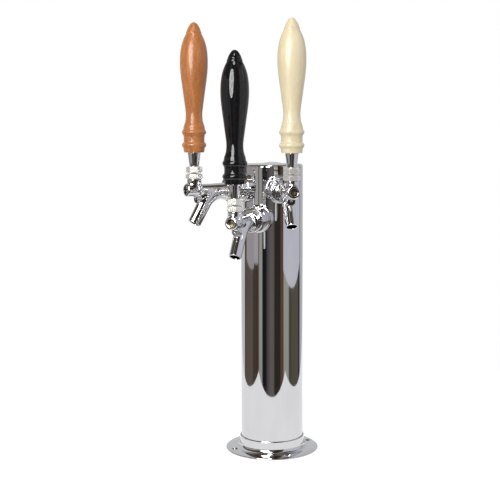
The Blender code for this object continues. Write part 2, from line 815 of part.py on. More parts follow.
def valve_shaft():
    """Sliding shaft: a guide with a slot for the lever's ball end, a rod and a shoulder."""
    rod_r = SHAFT_ROD_D / 2
    guide_r = BODY_BORE_D / 2 - GAP
    guide_rear = SHAFT_FRONT - SHAFT_GUIDE_LENGTH
    tail = SEAT_FACE - 3 * GAP - SEAT_WASHER_THICK - SHAFT_NUT_LENGTH - SHAFT_TAIL
    shoulder_front = SEAT_FACE + SHAFT_SHOULDER_LENGTH
    outline = (
        (tail, 0),
        (tail, rod_r),
        (SEAT_FACE, rod_r),
        (SEAT_FACE, SHAFT_SHOULDER_D / 2),
        (shoulder_front, SHAFT_SHOULDER_D / 2),
        (shoulder_front, rod_r),
        (guide_rear, rod_r),
        (guide_rear, guide_r),
        (SHAFT_FRONT, guide_r),
        (SHAFT_FRONT, 0),
    )
    shaft = forward_facing(turned(outline, TAP_SIDES))
    half_slot = FINGER_SLOT / 2
    slot = block(
        (-half_slot, -LEVER_REACH - half_slot, -half_slot - GAP),
        (half_slot, -LEVER_REACH + half_slot, BODY_BORE_D),
    )
    relief = block(
        (-BODY_BORE_D, -LEVER_REACH - SHAFT_RELIEF_LENGTH / 2, SHAFT_RELIEF_HEIGHT),
        (BODY_BORE_D, -LEVER_REACH + SHAFT_RELIEF_LENGTH / 2, BODY_BORE_D),
    )
    return combined(shaft, [slot, relief], "DIFFERENCE")


def seat_washer():
    """Rubber washer that closes against the body's seat."""
    front = SEAT_FACE - GAP
    return forward_facing(
        ring(
            front - SEAT_WASHER_THICK,
            front,
            SHAFT_ROD_D / 2 + GAP,
            SEAT_WASHER_D / 2,
            TAP_SIDES,
        )
    )


def shaft_nut():
    """Small hexagonal nut that holds the seat washer on the shaft."""
    front = SEAT_FACE - 2 * GAP - SEAT_WASHER_THICK
    rear = front - SHAFT_NUT_LENGTH
    land_r = SHAFT_NUT_AF / 2 * NUT_LAND_SHARE
    outer_r = SHAFT_NUT_AF / 2 / math.cos(math.pi / NUT_SIDES)
    outline = nut_outline(rear, front, SHAFT_ROD_D / 2 + GAP, land_r, land_r, outer_r)
    nut = turned(outline, SMALL_SIDES)
    return forward_facing(hexagonal(nut, SHAFT_NUT_AF, rear, front))


def ball_bushing():
    """Cup under the lever's ball, seated on the neck's floor."""
    mouth_r = BUSHING_MOUTH_D / 2
    bottom = NECK_FLOOR + GAP
    seat_edge = PIVOT_HEIGHT - chord(BALL_SEAT_R, mouth_r)
    outline = [(bottom, mouth_r), (bottom, NECK_FILL_R), (BUSHING_TOP, NECK_FILL_R)]
    steps = 2
    for step in range(steps + 1):
        height = BUSHING_TOP + (seat_edge - BUSHING_TOP) * step / steps
        outline.append((height, chord(BALL_SEAT_R, height - PIVOT_HEIGHT)))
    return at_lever(turned(outline, TAP_SIDES))


def friction_washer():
    """Ring that presses on the ball from above, so that the handle stays where it's put."""
    outline = [(FRICTION_TOP, NECK_FILL_R), (FRICTION_BOTTOM, NECK_FILL_R)]
    steps = 2
    for step in range(steps + 1):
        height = FRICTION_BOTTOM + FRICTION_WASHER_THICK * step / steps
        outline.append((height, chord(BALL_SEAT_R, height - PIVOT_HEIGHT)))
    return at_lever(turned(outline, TAP_SIDES))


def lever_room(height):
    """Radius that the tilted stud needs at this height above its pivot."""
    return height * math.tan(LEVER_TRAVEL) + STUD_D / 2 / math.cos(LEVER_TRAVEL) + GAP


def bonnet_nut():
    """Hexagonal nut on the neck, with a skirt inside it and a flared hole for the lever."""
    skirt_bottom = FRICTION_TOP + GAP
    corner_r = BONNET_AF / 2 / math.cos(math.pi / NUT_SIDES)
    land_r = BONNET_AF / 2 * NUT_LAND_SHARE
    chamfer_width = corner_r - land_r
    bottom_r = lever_room(skirt_bottom - PIVOT_HEIGHT)
    top_r = lever_room(BONNET_TOP - PIVOT_HEIGHT)
    outline = (
        (skirt_bottom, bottom_r),
        (skirt_bottom, NECK_FILL_R),
        (BONNET_BOTTOM, NECK_FILL_R),
        (BONNET_BOTTOM, land_r),
        (BONNET_BOTTOM + chamfer_width * math.tan(NUT_CHAMFER), corner_r),
        (BONNET_TOP - chamfer_width * math.tan(BONNET_TOP_CHAMFER), corner_r),
        (BONNET_TOP, land_r),
        (BONNET_TOP, top_r),
    )
    nut = turned(outline, NUT_TURN_SIDES)
    return at_lever(hexagonal(nut, BONNET_AF, skirt_bottom, BONNET_TOP))


def jam_nut():
    """Hexagonal nut on the stud that locks the ferrule, hollow below to clear the bonnet."""
    bore_r = STUD_D / 2 + GAP
    rim_r = JAM_AF / 2 * JAM_RIM_SHARE
    hollow_r = rim_r - JAM_RIM
    hollow_top = JAM_BOTTOM + (hollow_r - bore_r) * math.tan(JAM_HOLLOW)
    top_land_r = JAM_AF / 2 * NUT_LAND_SHARE
    corner_r = JAM_AF / 2 / math.cos(math.pi / NUT_SIDES)
    outer = nut_outline(JAM_BOTTOM, JAM_TOP, bore_r, rim_r, top_land_r, corner_r)
    outline = ((hollow_top, bore_r), (JAM_BOTTOM, hollow_r), *outer[1:])
    nut = turned(outline, NUT_TURN_SIDES)
    return at_lever(hexagonal(nut, JAM_AF, JAM_BOTTOM, JAM_TOP))


def lever():
    """Lever: ball end in the shaft's slot, finger, pivot ball and threaded stud."""
    tip_r = FINGER_BALL_D / 2
    finger_r = FINGER_D / 2
    ball_r = BALL_D / 2
    stud_r = STUD_D / 2
    tip_end = math.acos(finger_r / tip_r)
    ball_start = -math.acos(finger_r / ball_r)
    ball_end = math.acos(stud_r / ball_r)
    outline = [(-tip_r, 0)]
    outline += arc((0, 0), tip_r, -math.pi / 4, tip_end, 2)
    outline += arc((PIVOT_HEIGHT, 0), ball_r, ball_start, ball_end, 5)
    outline += [(STUD_TOP, stud_r), (STUD_TOP, 0)]
    return at_lever(turned(outline, SMALL_SIDES))


def ferrule():
    """Conical ferrule screwed onto the stud, with a spigot up into the handle."""
    bore_r = STUD_D / 2 + GAP
    spigot_r = FERRULE_SPIGOT_D / 2
    outline = (
        (STUD_TOP + GAP, 0),
        (STUD_TOP + GAP, bore_r),
        (FERRULE_BOTTOM, bore_r),
        (FERRULE_BOTTOM, FERRULE_D / 2 - GAP),
        (FERRULE_BOTTOM + GAP, FERRULE_D / 2),
        (FERRULE_TOP, FERRULE_TOP_D / 2),
        (FERRULE_TOP, spigot_r),
        (FERRULE_TOP + FERRULE_SPIGOT, spigot_r),
        (FERRULE_TOP + FERRULE_SPIGOT, 0),
    )
    return at_lever(turned(outline, TAP_SIDES))


def handle():
    """Turned wooden handle with a blind hole in its foot for the ferrule's spigot."""
    bore_r = FERRULE_SPIGOT_D / 2 + GAP
    bore_top = HANDLE_BOTTOM + FERRULE_SPIGOT
    outline = [(bore_top, 0), (bore_top, bore_r), (HANDLE_BOTTOM, bore_r)]
    for height_share, radius_share in HANDLE_OUTLINE_SHARES:
        height = HANDLE_BOTTOM + HANDLE_LENGTH * height_share
        outline.append((height, HANDLE_BELLY_D / 2 * radius_share))
    return at_lever(turned(outline, HANDLE_SIDES))


def add_tap(side, turn, height, handle_finish):
    """One whole tap: pieces fixed to the column, the lever's pieces and the shaft's."""
    column = add_empty("tap_axis_" + side, (0, COLUMN_Y, height), turn)
    fixed = (
        ("shank_flange", shank_flange, CHROME),
        ("saddle_washer", saddle_washer, STEEL),
        ("shank_lock_nut", lock_nut, BRASS),
        ("shank", shank, BRASS),
        ("tailpiece", tailpiece, STEEL),
        ("coupling_nut", coupling_nut, CHROME),
        ("coupling_gasket", gasket, RUBBER),
        ("faucet_body", tap_body, CHROME),
        ("ball_bushing", ball_bushing, NYLON),
        ("friction_washer", friction_washer, NYLON),
        ("bonnet_nut", bonnet_nut, NICKEL),
    )
    for name, maker, finish in fixed:
        add_piece(name + "_" + side, maker(), finish, column)

    sliding = (
        ("shaft", valve_shaft, BRASS),
        ("seat_washer", seat_washer, RUBBER),
        ("shaft_nut", shaft_nut, BRASS),
    )
    slide = add_empty("shaft_slide_" + side, (0, 0, 0), parent=column)
    for name, maker, finish in sliding:
        add_piece(name + "_" + side, maker(), finish, slide)

    swinging = (
        ("lever", lever, BRASS),
        ("jam_nut", jam_nut, NICKEL),
        ("handle_ferrule", ferrule, CHROME),
        ("handle", handle, handle_finish),
    )
    pivot_place = Vector((0, -LEVER_REACH, PIVOT_HEIGHT))
    pivot = add_empty("lever_pivot_" + side, pivot_place, parent=column)
    to_pivot = Matrix.Translation(-pivot_place)
    for name, maker, finish in swinging:
        add_piece(name + "_" + side, moved(maker(), to_pivot), finish, pivot)


def build():
    """Clears the scene and makes every piece."""
    for thing in list(bpy.data.objects):
        bpy.data.objects.remove(thing)
    side_height = TOWER_HEIGHT - SIDE_TAP_DROP
    taps = (
        ("left", -SIDE_TAP_ANGLE, side_height, ORANGE_WOOD),
        ("center", 0, TOWER_HEIGHT - CENTER_TAP_DROP, BLACK_LACQUER),
        ("right", SIDE_TAP_ANGLE, side_height, PALE_WOOD),
    )
    places = [(turn, height) for _, turn, height, _ in taps]
    plug_top = CAP_TOP - CAP_WALL - GAP
    plug_r = CAP_SKIRT_R - CAP_WALL - GAP

    column = add_empty("column_axis", (0, COLUMN_Y, 0))
    add_piece("base_flange", base_flange(), CHROME, column)
    add_piece("column_tube", column_tube(places), CHROME, column)
    sleeve = ring(
        FLANGE_THICK + GAP,
        SLEEVE_TOP,
        SLEEVE_BORE_R,
        COLUMN_INNER_R - GAP,
        SLEEVE_SIDES,
    )
    add_piece("insulation_sleeve", sleeve, FOAM, column)

    cap = add_empty("cap_lift", (0, 0, 0), parent=column)
    add_piece("top_cap", top_cap(), CHROME, cap)
    plug = rod(plug_top - FOAM_PLUG_THICK, plug_top, plug_r, SLEEVE_SIDES)
    add_piece("cap_foam_plug", plug, FOAM, cap)

    for side, turn, height, handle_finish in taps:
        add_tap(side, turn, height, handle_finish)


build()
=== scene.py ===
"""Looks for the beer tower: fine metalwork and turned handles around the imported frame.

Metres, in the frame's own axes: +Z up, the taps point towards -Y. A tap is modelled once
in its own plane, as if its shank axis started at the column's axis and ran along -Y, and
is then placed by the joint that its lever turns on.
"""

import json
import math

import bmesh
import bpy
import numpy as np
from mathutils import Matrix, Vector


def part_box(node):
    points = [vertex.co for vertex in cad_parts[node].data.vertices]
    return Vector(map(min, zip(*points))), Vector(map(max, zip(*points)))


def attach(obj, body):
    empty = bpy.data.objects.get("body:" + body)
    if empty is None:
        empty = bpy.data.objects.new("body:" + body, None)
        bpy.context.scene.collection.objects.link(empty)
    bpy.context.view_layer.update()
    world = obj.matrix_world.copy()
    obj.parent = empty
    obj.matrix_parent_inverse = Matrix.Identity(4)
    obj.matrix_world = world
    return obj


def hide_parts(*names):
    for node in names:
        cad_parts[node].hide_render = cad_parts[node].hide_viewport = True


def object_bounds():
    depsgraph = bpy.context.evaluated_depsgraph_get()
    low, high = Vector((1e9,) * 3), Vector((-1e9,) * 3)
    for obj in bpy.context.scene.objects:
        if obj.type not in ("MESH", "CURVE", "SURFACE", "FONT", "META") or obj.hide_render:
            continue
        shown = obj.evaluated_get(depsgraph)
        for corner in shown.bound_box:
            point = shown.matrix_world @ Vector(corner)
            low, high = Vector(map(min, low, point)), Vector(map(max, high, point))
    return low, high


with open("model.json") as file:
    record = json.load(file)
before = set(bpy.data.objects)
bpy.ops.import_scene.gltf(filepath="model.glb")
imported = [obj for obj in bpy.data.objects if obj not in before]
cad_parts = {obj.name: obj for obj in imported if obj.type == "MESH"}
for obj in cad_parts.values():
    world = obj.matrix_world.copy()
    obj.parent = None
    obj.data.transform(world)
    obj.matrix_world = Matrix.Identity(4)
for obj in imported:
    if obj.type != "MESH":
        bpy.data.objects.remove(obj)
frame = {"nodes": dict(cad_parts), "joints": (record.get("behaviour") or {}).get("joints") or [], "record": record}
cad_low, cad_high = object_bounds()

SIDES = ("left", "center", "right")

# Fineness of the meshes
TURN_STEPS = 128
HANDLE_STEPS = 72
BODY_GRID = 0.0004
NUT_GRID = 0.00028
RING_GRID = 0.0004
SETTLE_STEPS = 4
PROBES_PER_CELL = 20
LEAST_SLOPE = 0.25
SPLINE_STEPS = 5
SHARP_ANGLE = math.radians(38)
OVERRUN = 0.002
SOLVER_SCALE = 1000
FIT = 0.0003

# Column, cap and base flange
PLATE_THICK = 0.0030
PLATE_EDGE_R = 0.0011
BEVEL_WIDTH = 0.0022
BEVEL_DROP = 0.0007
COLLAR_WALL = 0.0013
COLLAR_FILLET_R = 0.0055
LINE_HOLE_R = 0.033
SCREW_CIRCLE_R = 0.04875
SCREW_HOLE_R = 0.00225
COUNTERSINK_R = 0.0040
SCREW_COUNT = 4
CAP_SHOULDER_R = 0.0035
CAP_DOME_RISE = 0.0022
CAP_DOME_R = 0.022
CAP_WALL = 0.0015
COLUMN_WALL = 0.0012

# Saddle and coupling nut
SADDLE_LIP = 0.0055
SADDLE_BARREL_R = 0.0153
SADDLE_EDGE = 0.0009
SADDLE_FILLET = 0.0012
COUPLING_BORE_R = 0.0125
COUPLING_LIP = 0.0022
COUPLING_FRONT_EDGE = 0.0026
COUPLING_REAR_EDGE = 0.0010
COUPLING_STEP_R = 0.0139
COUPLING_STEP_DEPTH = 0.0008
SLOT_COUNT = 6
SLOT_WIDTH = 0.0036
SLOT_DEPTH = 0.0011
SLOT_LENGTH = 0.0060

# Tap body
RECESS_DEPTH = 0.0030
RECESS_R = 0.0075
BARREL_R = 0.0068
HUB_R = 0.0079
HUB_LENGTH = 0.0165
HUB_EDGE = 0.0022
BODY_BORE_R = 0.00455
BORE_EDGE = 0.0005
NECK_R = 0.0085
NECK_ROOT_R = 0.0064
NECK_ROOT_DEPTH = 0.0020
NECK_SHOULDER = 0.0042
NECK_BORE_R = 0.0072
NECK_FLOOR = 0.0050
SPOUT_R = 0.0084
SPOUT_END_R = 0.0080
SPOUT_WIDTH_SHARE = 0.86
SPOUT_BORE_R = 0.0060
SPOUT_REACH = 0.1082
SPOUT_DROP = 0.0398
SPOUT_LEAN = math.radians(30)
BEND_R = 0.0266
BEND_DROP = 0.0034
BEND_START_R = 0.0086
FLARE_R = 0.0100
VENT_BOSS_R = 0.0052
VENT_BOSS_DROP = 0.0106
VENT_BOSS_FRONT = 0.1062
VENT_BOSS_LENGTH = 0.0150
VENT_R = 0.0009
WEB_BLEND = 0.0055
JOIN_BLEND = 0.0022
SMALL_BLEND = 0.0012
BEND_STEPS = 10

# Nuts and lever
NUT_CHAMFER = math.radians(30)
NUT_EDGE = 0.00035
NUT_SIDES = 6
LAND_SHARE = 0.94
BONNET_TOP_CHAMFER = math.radians(45)
JAM_RIM = 0.0004
JAM_RIM_SHARE = 0.98
JAM_HOLLOW = math.radians(36)
FINGER_SHARE = 0.67
STUD_R = 0.0026
LEVER_TRAVEL = math.radians(22)
FERRULE_FOOT_EDGE = 0.0005
FERRULE_FOOT_SHARE = 0.735
FERRULE_SPIGOT_R = 0.0047
FERRULE_SPIGOT = 0.0140

# Handle outline, from the flat foot up: share of its length, share of its belly radius
HANDLE_SHARES = (
    (0.000, 0.715),
    (0.006, 0.732),
    (0.020, 0.750),
    (0.033, 0.765),
    (0.038, 0.800),
    (0.046, 0.850),
    (0.056, 0.874),
    (0.066, 0.850),
    (0.074, 0.795),
    (0.080, 0.752),
    (0.099, 0.744),
    (0.121, 0.750),
    (0.134, 0.785),
    (0.142, 0.840),
    (0.154, 0.874),
    (0.166, 0.845),
    (0.174, 0.795),
    (0.188, 0.765),
    (0.202, 0.742),
    (0.215, 0.700),
    (0.230, 0.655),
    (0.249, 0.616),
    (0.280, 0.595),
    (0.308, 0.600),
    (0.354, 0.650),
    (0.413, 0.726),
    (0.472, 0.799),
    (0.532, 0.878),
    (0.591, 0.945),
    (0.643, 0.988),
    (0.689, 1.000),
    (0.735, 0.990),
    (0.774, 0.957),
    (0.814, 0.896),
    (0.846, 0.817),
    (0.861, 0.767),
    (0.882, 0.689),
    (0.895, 0.628),
    (0.903, 0.590),
    (0.911, 0.555),
    (0.916, 0.546),
    (0.921, 0.550),
    (0.926, 0.534),
    (0.931, 0.503),
    (0.937, 0.487),
    (0.945, 0.463),
    (0.957, 0.415),
    (0.966, 0.370),
    (0.975, 0.318),
    (0.984, 0.260),
    (0.992, 0.185),
    (0.997, 0.105),
    (1.000, 0.000),
)

# Camera, as the photograph was taken
CAMERA_TURN = math.radians(23)
CAMERA_DISTANCE = 1.2943
CAMERA_HEIGHT = 0.38844
CAMERA_TILT = math.radians(2.647)
CAMERA_LENS = 75.62
CAMERA_SENSOR = 36.0
CAMERA_SHIFT_X = -0.0439
CAMERA_SHIFT_Y = -0.1327

# Studio
WHITE = (1, 1, 1)
PAPER_HALF_WIDTH = 0.370
PAPER_FRONT = 0.325
PAPER_BACK = 2.0
PAPER_GLOW = 0.93
PAPER_LIFT = 0.60
PAPER_TONE = (0.82, 0.82, 0.82)
SOFT_TONE = (0.98, 0.99, 1.0)
SOFT_GLOW = 0.55
KEY_TURN = math.radians(-25)
KEY_RISE = math.radians(22.5)
KEY_DISTANCE = 1.3
KEY_WIDTH = 0.72
KEY_HEIGHT = 0.98
KEY_GLOW = 5.6
KEY_MIRRORED_GLOW = 17.0
KEY_POINTS = 40
FOLD_STRETCH = (1, 1, 0.25)
FOLD_SCALE = 14
FOLD_TWIST = 1.5
FOLD_LOW = 0.40
FOLD_HIGH = 0.62
FOLD_CONTRAST = 3
TOP_TURN = math.radians(-12)
TOP_RISE = math.radians(60)
TOP_DISTANCE = 1.4
TOP_SIZE = 0.34
TOP_GLOW = 9.0
TOP_POINTS = 24

# Panels standing round the tower: turn from the camera, distance, reach to the left and to
# the right of that, height, tone
PANELS = (
    (math.radians(80.6), 1.42, 1.13, 1.32, 1.6, (0.60, 0.60, 0.67)),
    (math.radians(-80), 1.80, 0.96, 0.29, 1.0, (0.37, 0.34, 0.35)),
    (math.radians(-60), 1.92, 0.37, 0.27, 1.0, (0.42, 0.40, 0.41)),
)

# Room seen in the metal: (turn from the camera in degrees, tone), from left round to right
ROOM_TONES = (
    (-180, (0.62, 0.63, 0.63)),
    (-124, (0.62, 0.63, 0.63)),
    (-121, (0.02, 0.02, 0.02)),
    (-116, (0.11, 0.09, 0.07)),
    (-80, (0.12, 0.10, 0.085)),
    (-74, (0.07, 0.05, 0.04)),
    (-52, (0.065, 0.04, 0.03)),
    (-47, (0.35, 0.35, 0.32)),
    (-38, (0.35, 0.35, 0.32)),
    (-34, (0.012, 0.012, 0.014)),
    (-22, (0.012, 0.012, 0.014)),
    (-18, (0.06, 0.05, 0.055)),
    (-6, (0.13, 0.12, 0.12)),
    (6, (0.13, 0.115, 0.10)),
    (10, (0.03, 0.027, 0.022)),
    (30, (0.03, 0.025, 0.02)),
    (34, (0.11, 0.07, 0.05)),
    (43, (0.11, 0.07, 0.05)),
    (46, (0.36, 0.35, 0.31)),
    (64, (0.36, 0.35, 0.31)),
    (68, (0.05, 0.05, 0.045)),
    (80, (0.10, 0.09, 0.065)),
    (112, (0.11, 0.095, 0.07)),
    (118, (0.03, 0.035, 0.035)),
    (124, (0.03, 0.035, 0.035)),
    (130, (0.50, 0.50, 0.53)),
    (180, (0.62, 0.63, 0.63)),
)

# Measures taken from the frame
CENTER = "_center"


def middle_of(node):
    """Middle of a node's box."""
    low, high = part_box(node)
    return (low + high) / 2


def half_width(node):
    """Half of a node's box across X, which is a turned piece's radius."""
    low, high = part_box(node)
    return (high.x - low.x) / 2


COLUMN_Y = middle_of("column_tube").y
COLUMN_R = half_width("column_tube")
SHANK_Z = middle_of("shank_center").z


def reaches(kind):
    """How far a centre tap's piece starts and ends from the column's axis."""
    low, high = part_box(kind + CENTER)
    return COLUMN_Y - high.y, COLUMN_Y - low.y


def heights(kind):
    """Lowest and highest point of a centre tap's piece above its shank axis."""
    low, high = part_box(kind + CENTER)
    return low.z - SHANK_Z, high.z - SHANK_Z


JOINTS = {joint["name"]: joint for joint in frame["joints"]}
PIVOT = Vector(JOINTS["lever_center"]["pos_m"])
PIVOT_HEIGHT = PIVOT.z - SHANK_Z
LEVER_REACH = COLUMN_Y - PIVOT.y


def tap_place(side):
    """Matrix that takes a tap's own plane to its place on the column."""
    joint = JOINTS["lever_" + side]
    across = Vector(joint["axis"]).normalized()
    up = Vector((0, 0, 1))
    turn = Matrix((across, up.cross(across), up)).transposed().to_4x4()
    origin = Vector((0, COLUMN_Y, joint["pos_m"][2] - PIVOT_HEIGHT))
    return Matrix.Translation(origin) @ turn


# Mesh makers


def mesh_of(points, faces, name="shape"):
    """A smooth-shaded mesh with its sharp edges marked."""
    mesh = bpy.data.meshes.new(name)
    mesh.from_pydata([tuple(point) for point in points], [], faces)
    mesh.update()
    return finished(mesh)


def finished(mesh, sharp=SHARP_ANGLE):
    """Faces pointing out, smooth shading and sharp edges marked."""
    shape = bmesh.new()
    shape.from_mesh(mesh)
    bmesh.ops.recalc_face_normals(shape, faces=shape.faces)
    shape.to_mesh(mesh)
    shape.free()
    mesh.shade_smooth()
    mesh.set_sharp_from_angle(angle=sharp)
    return mesh


def turned(outline, steps=TURN_STEPS):
    """An outline of (height, radius) turned about Z; it is closed unless it meets the axis."""
    points = []
    rings = []
    for height, radius in outline:
        if radius == 0:
            rings.append([len(points)])
            points.append((0, 0, height))
            continue
        rings.append(list(range(len(points), len(points) + steps)))
        for step in range(steps):
            angle = math.tau * step / steps
            points.append((radius * math.cos(angle), radius * math.sin(angle), height))
    pairs = list(zip(rings, rings[1:]))
    if outline[0][1] > 0:
        pairs.append((rings[-1], rings[0]))
    faces = []
    for first, second in pairs:
        for step in range(steps):
            after = (step + 1) % steps
            if len(first) == 1:
                faces.append((first[0], second[step], second[after]))
            elif len(second) == 1:
                faces.append((first[step], second[0], first[after]))
            else:
                faces.append((first[step], second[step], second[after], first[after]))
    return mesh_of(points, faces)


def arc(centre, radius, start, end, steps=8):
    """Points (height, radius) on an arc; angles run from the radial direction to +Z."""
    along, out = centre
    points = []
    for step in range(steps + 1):
        angle = start + (end - start) * step / steps
        points.append((along + radius * math.sin(angle), out + radius * math.cos(angle)))
    return points


def splined(points, steps=SPLINE_STEPS):
    """A smooth curve through (height, radius) points."""
    path = [points[0], *points, points[-1]]
    result = []
    for before, start, end, after in zip(path, path[1:], path[2:], path[3:]):
        for step in range(steps):
            share = step / steps
            result.append(
                tuple(
                    (
                        2 * b
                        + (c - a) * share
                        + (2 * a - 5 * b + 4 * c - d) * share**2
                        + (3 * b - a - 3 * c + d) * share**3
                    )
                    / 2
                    for a, b, c, d in zip(before, start, end, after)
                )
            )
    return result + [points[-1]]


def cut(mesh, tools, operation="DIFFERENCE"):
    """The mesh after a Boolean with each tool, worked enlarged to keep small parts apart."""
    enlarge = Matrix.Scale(SOLVER_SCALE, 4)
    for tool in tools:
        host = bpy.data.objects.new("host", mesh)
        helper = bpy.data.objects.new("tool", tool)
        for item in (host, helper):
            item.data.transform(enlarge)
            bpy.context.scene.collection.objects.link(item)
        step = host.modifiers.new("step", "BOOLEAN")
        step.operation = operation
        step.solver = "EXACT"
        step.object = helper
        graph = bpy.context.evaluated_depsgraph_get()
        mesh = bpy.data.meshes.new_from_object(host.evaluated_get(graph))
        mesh.transform(enlarge.inverted())
        bpy.data.objects.remove(host)
        bpy.data.objects.remove(helper)
    return finished(mesh)


def moved(mesh, matrix):
    """The same mesh, moved or turned."""
    mesh.transform(matrix)
    return mesh


FORWARD = Matrix.Rotation(math.pi / 2, 4, "X")
AT_LEVER = Matrix.Translation((0, -LEVER_REACH, 0))


# Shapes given by a distance field: below zero inside, above zero outside


def smooth_min(first, second, blend):
    """The lesser of two fields, rounded where they meet."""
    overlap = np.maximum(blend - np.abs(first - second), 0)
    return np.minimum(first, second) - overlap * overlap / blend / 4


def smooth_max(first, second, blend):
    """The greater of two fields, rounded where they meet."""
    return -smooth_min(-first, -second, blend)


def cone_field(place, start, end, start_r, end_r):
    """Field of a round rod that tapers from one point to another."""
    start = np.array(start)
    way = np.array(end) - start
    share = np.clip(((place - start) @ way) / (way @ way), 0, 1)
    away = np.linalg.norm(place - start - share[..., None] * way, axis=-1)
    return away - start_r - (end_r - start_r) * share


def rod_field(place, start, end, radius, edge):
    """Field of a straight rod with flat ends and rounded edges."""
    start = np.array(start)
    way = np.array(end) - start
    length = np.linalg.norm(way)
    along = (place - start) @ (way / length)
    radial = np.linalg.norm(place - start - along[..., None] * (way / length), axis=-1)
    out = radial - radius + edge
    past = np.abs(along - length / 2) - length / 2 + edge
    outside = np.hypot(np.maximum(out, 0), np.maximum(past, 0))
    return outside + np.minimum(np.maximum(out, past), 0) - edge


def box_field(place, low, high):
    """Field of a box between two corners."""
    low = np.array(low)
    high = np.array(high)
    past = np.abs(place - (low + high) / 2) - (high - low) / 2
    outside = np.linalg.norm(np.maximum(past, 0), axis=-1)
    return outside + np.minimum(past.max(axis=-1), 0)


def surface_of(field, low, high, grid):
    """Mesh of a field's zero surface: one point in each cell that it crosses."""
    axes = [np.arange(a, b + grid, grid) for a, b in zip(low, high)]
    place = np.stack(np.meshgrid(*axes, indexing="ij"), axis=-1)
    values = field(place)
    inside = values < 0
    counts = [size - 1 for size in inside.shape]
    total = np.zeros((*counts, 3))
    crossings = np.zeros(counts, int)
    for axis in range(3):
        near = [slice(None)] * 3
        far = [slice(None)] * 3
        near[axis] = slice(0, -1)
        far[axis] = slice(1, None)
        near, far = tuple(near), tuple(far)
        crossed = inside[near] != inside[far]
        span = np.where(crossed, values[near] - values[far], 1)
        share = np.where(crossed, values[near] / span, 0)
        point = place[near] + share[..., None] * (place[far] - place[near])
        others = [other for other in range(3) if other != axis]
        for shift_a in (0, 1):
            for shift_b in (0, 1):
                pick = [slice(None)] * 3
                pick[others[0]] = slice(shift_a, shift_a + counts[others[0]])
                pick[others[1]] = slice(shift_b, shift_b + counts[others[1]])
                pick = tuple(pick)
                total += np.where(crossed[pick][..., None], point[pick], 0)
                crossings += crossed[pick]
    used = crossings > 0
    numbers = np.full(counts, -1)
    numbers[used] = np.arange(used.sum())
    points = settled(field, total[used] / crossings[used][:, None], grid)
    return mesh_of(points, net_faces(inside, numbers).tolist())


def net_faces(inside, numbers):
    """One four-sided face round each grid edge that the surface crosses."""
    faces = []
    for axis in range(3):
        near = [slice(1, -1)] * 3
        far = [slice(1, -1)] * 3
        near[axis] = slice(0, -1)
        far[axis] = slice(1, None)
        crossed = inside[tuple(near)] != inside[tuple(far)]
        spots = np.argwhere(crossed)
        others = [other for other in range(3) if other != axis]
        spots[:, others[0]] += 1
        spots[:, others[1]] += 1
        corners = []
        for shift_a, shift_b in ((0, 0), (1, 0), (1, 1), (0, 1)):
            cell = spots.copy()
            cell[:, others[0]] -= shift_a
            cell[:, others[1]] -= shift_b
            corners.append(numbers[tuple(cell.T)])
        faces.append(np.stack(corners, axis=1))
    return np.concatenate(faces)


def settled(field, points, grid):
    """Moves each point along the field's slope onto its zero surface."""
    reach = grid / PROBES_PER_CELL
    for _ in range(SETTLE_STEPS):
        slope = np.empty_like(points)
        for axis in range(3):
            step = np.zeros(3)
            step[axis] = reach
            slope[:, axis] = (field(points + step) - field(points - step)) / (2 * reach)
        size = np.maximum((slope * slope).sum(axis=1), LEAST_SLOPE)
        away = np.clip(field(points) / size, -grid / 2, grid / 2)
        points = points - slope * away[:, None]
    return points


# Tap pieces


def on_plane(reach, height):
    """A point of the tap's own plane."""
    return (0, -reach, height)


def spout_line():
    """Points and radii of the bent tube from the coupling to the spout's mouth."""
    dive = math.pi / 2 - SPOUT_LEAN
    boss_front = reaches("coupling_nut")[1] + FIT
    run = (SPOUT_DROP - BEND_DROP) / math.cos(SPOUT_LEAN)
    corner = SPOUT_REACH - run * math.sin(SPOUT_LEAN)
    bend_start = corner - BEND_R * math.tan(dive / 2)
    line = [
        (boss_front - OVERRUN, -BEND_DROP, FLARE_R),
        (boss_front + FIT, -BEND_DROP, FLARE_R),
        ((boss_front + bend_start) / 2, -BEND_DROP, (FLARE_R + BEND_START_R) / 2),
    ]
    for step in range(BEND_STEPS + 1):
        share = step / BEND_STEPS
        turn = dive * share
        fade = max(0, 1 - 2 * share)
        line.append(
            (
                bend_start + BEND_R * math.sin(turn),
                BEND_R * (math.cos(turn) - 1) - BEND_DROP,
                SPOUT_R + (BEND_START_R - SPOUT_R) * fade,
            )
        )
    past = OVERRUN * 2
    line.append(
        (
            SPOUT_REACH + past * math.sin(SPOUT_LEAN),
            -SPOUT_DROP - past * math.cos(SPOUT_LEAN),
            SPOUT_END_R,
        )
    )
    return line


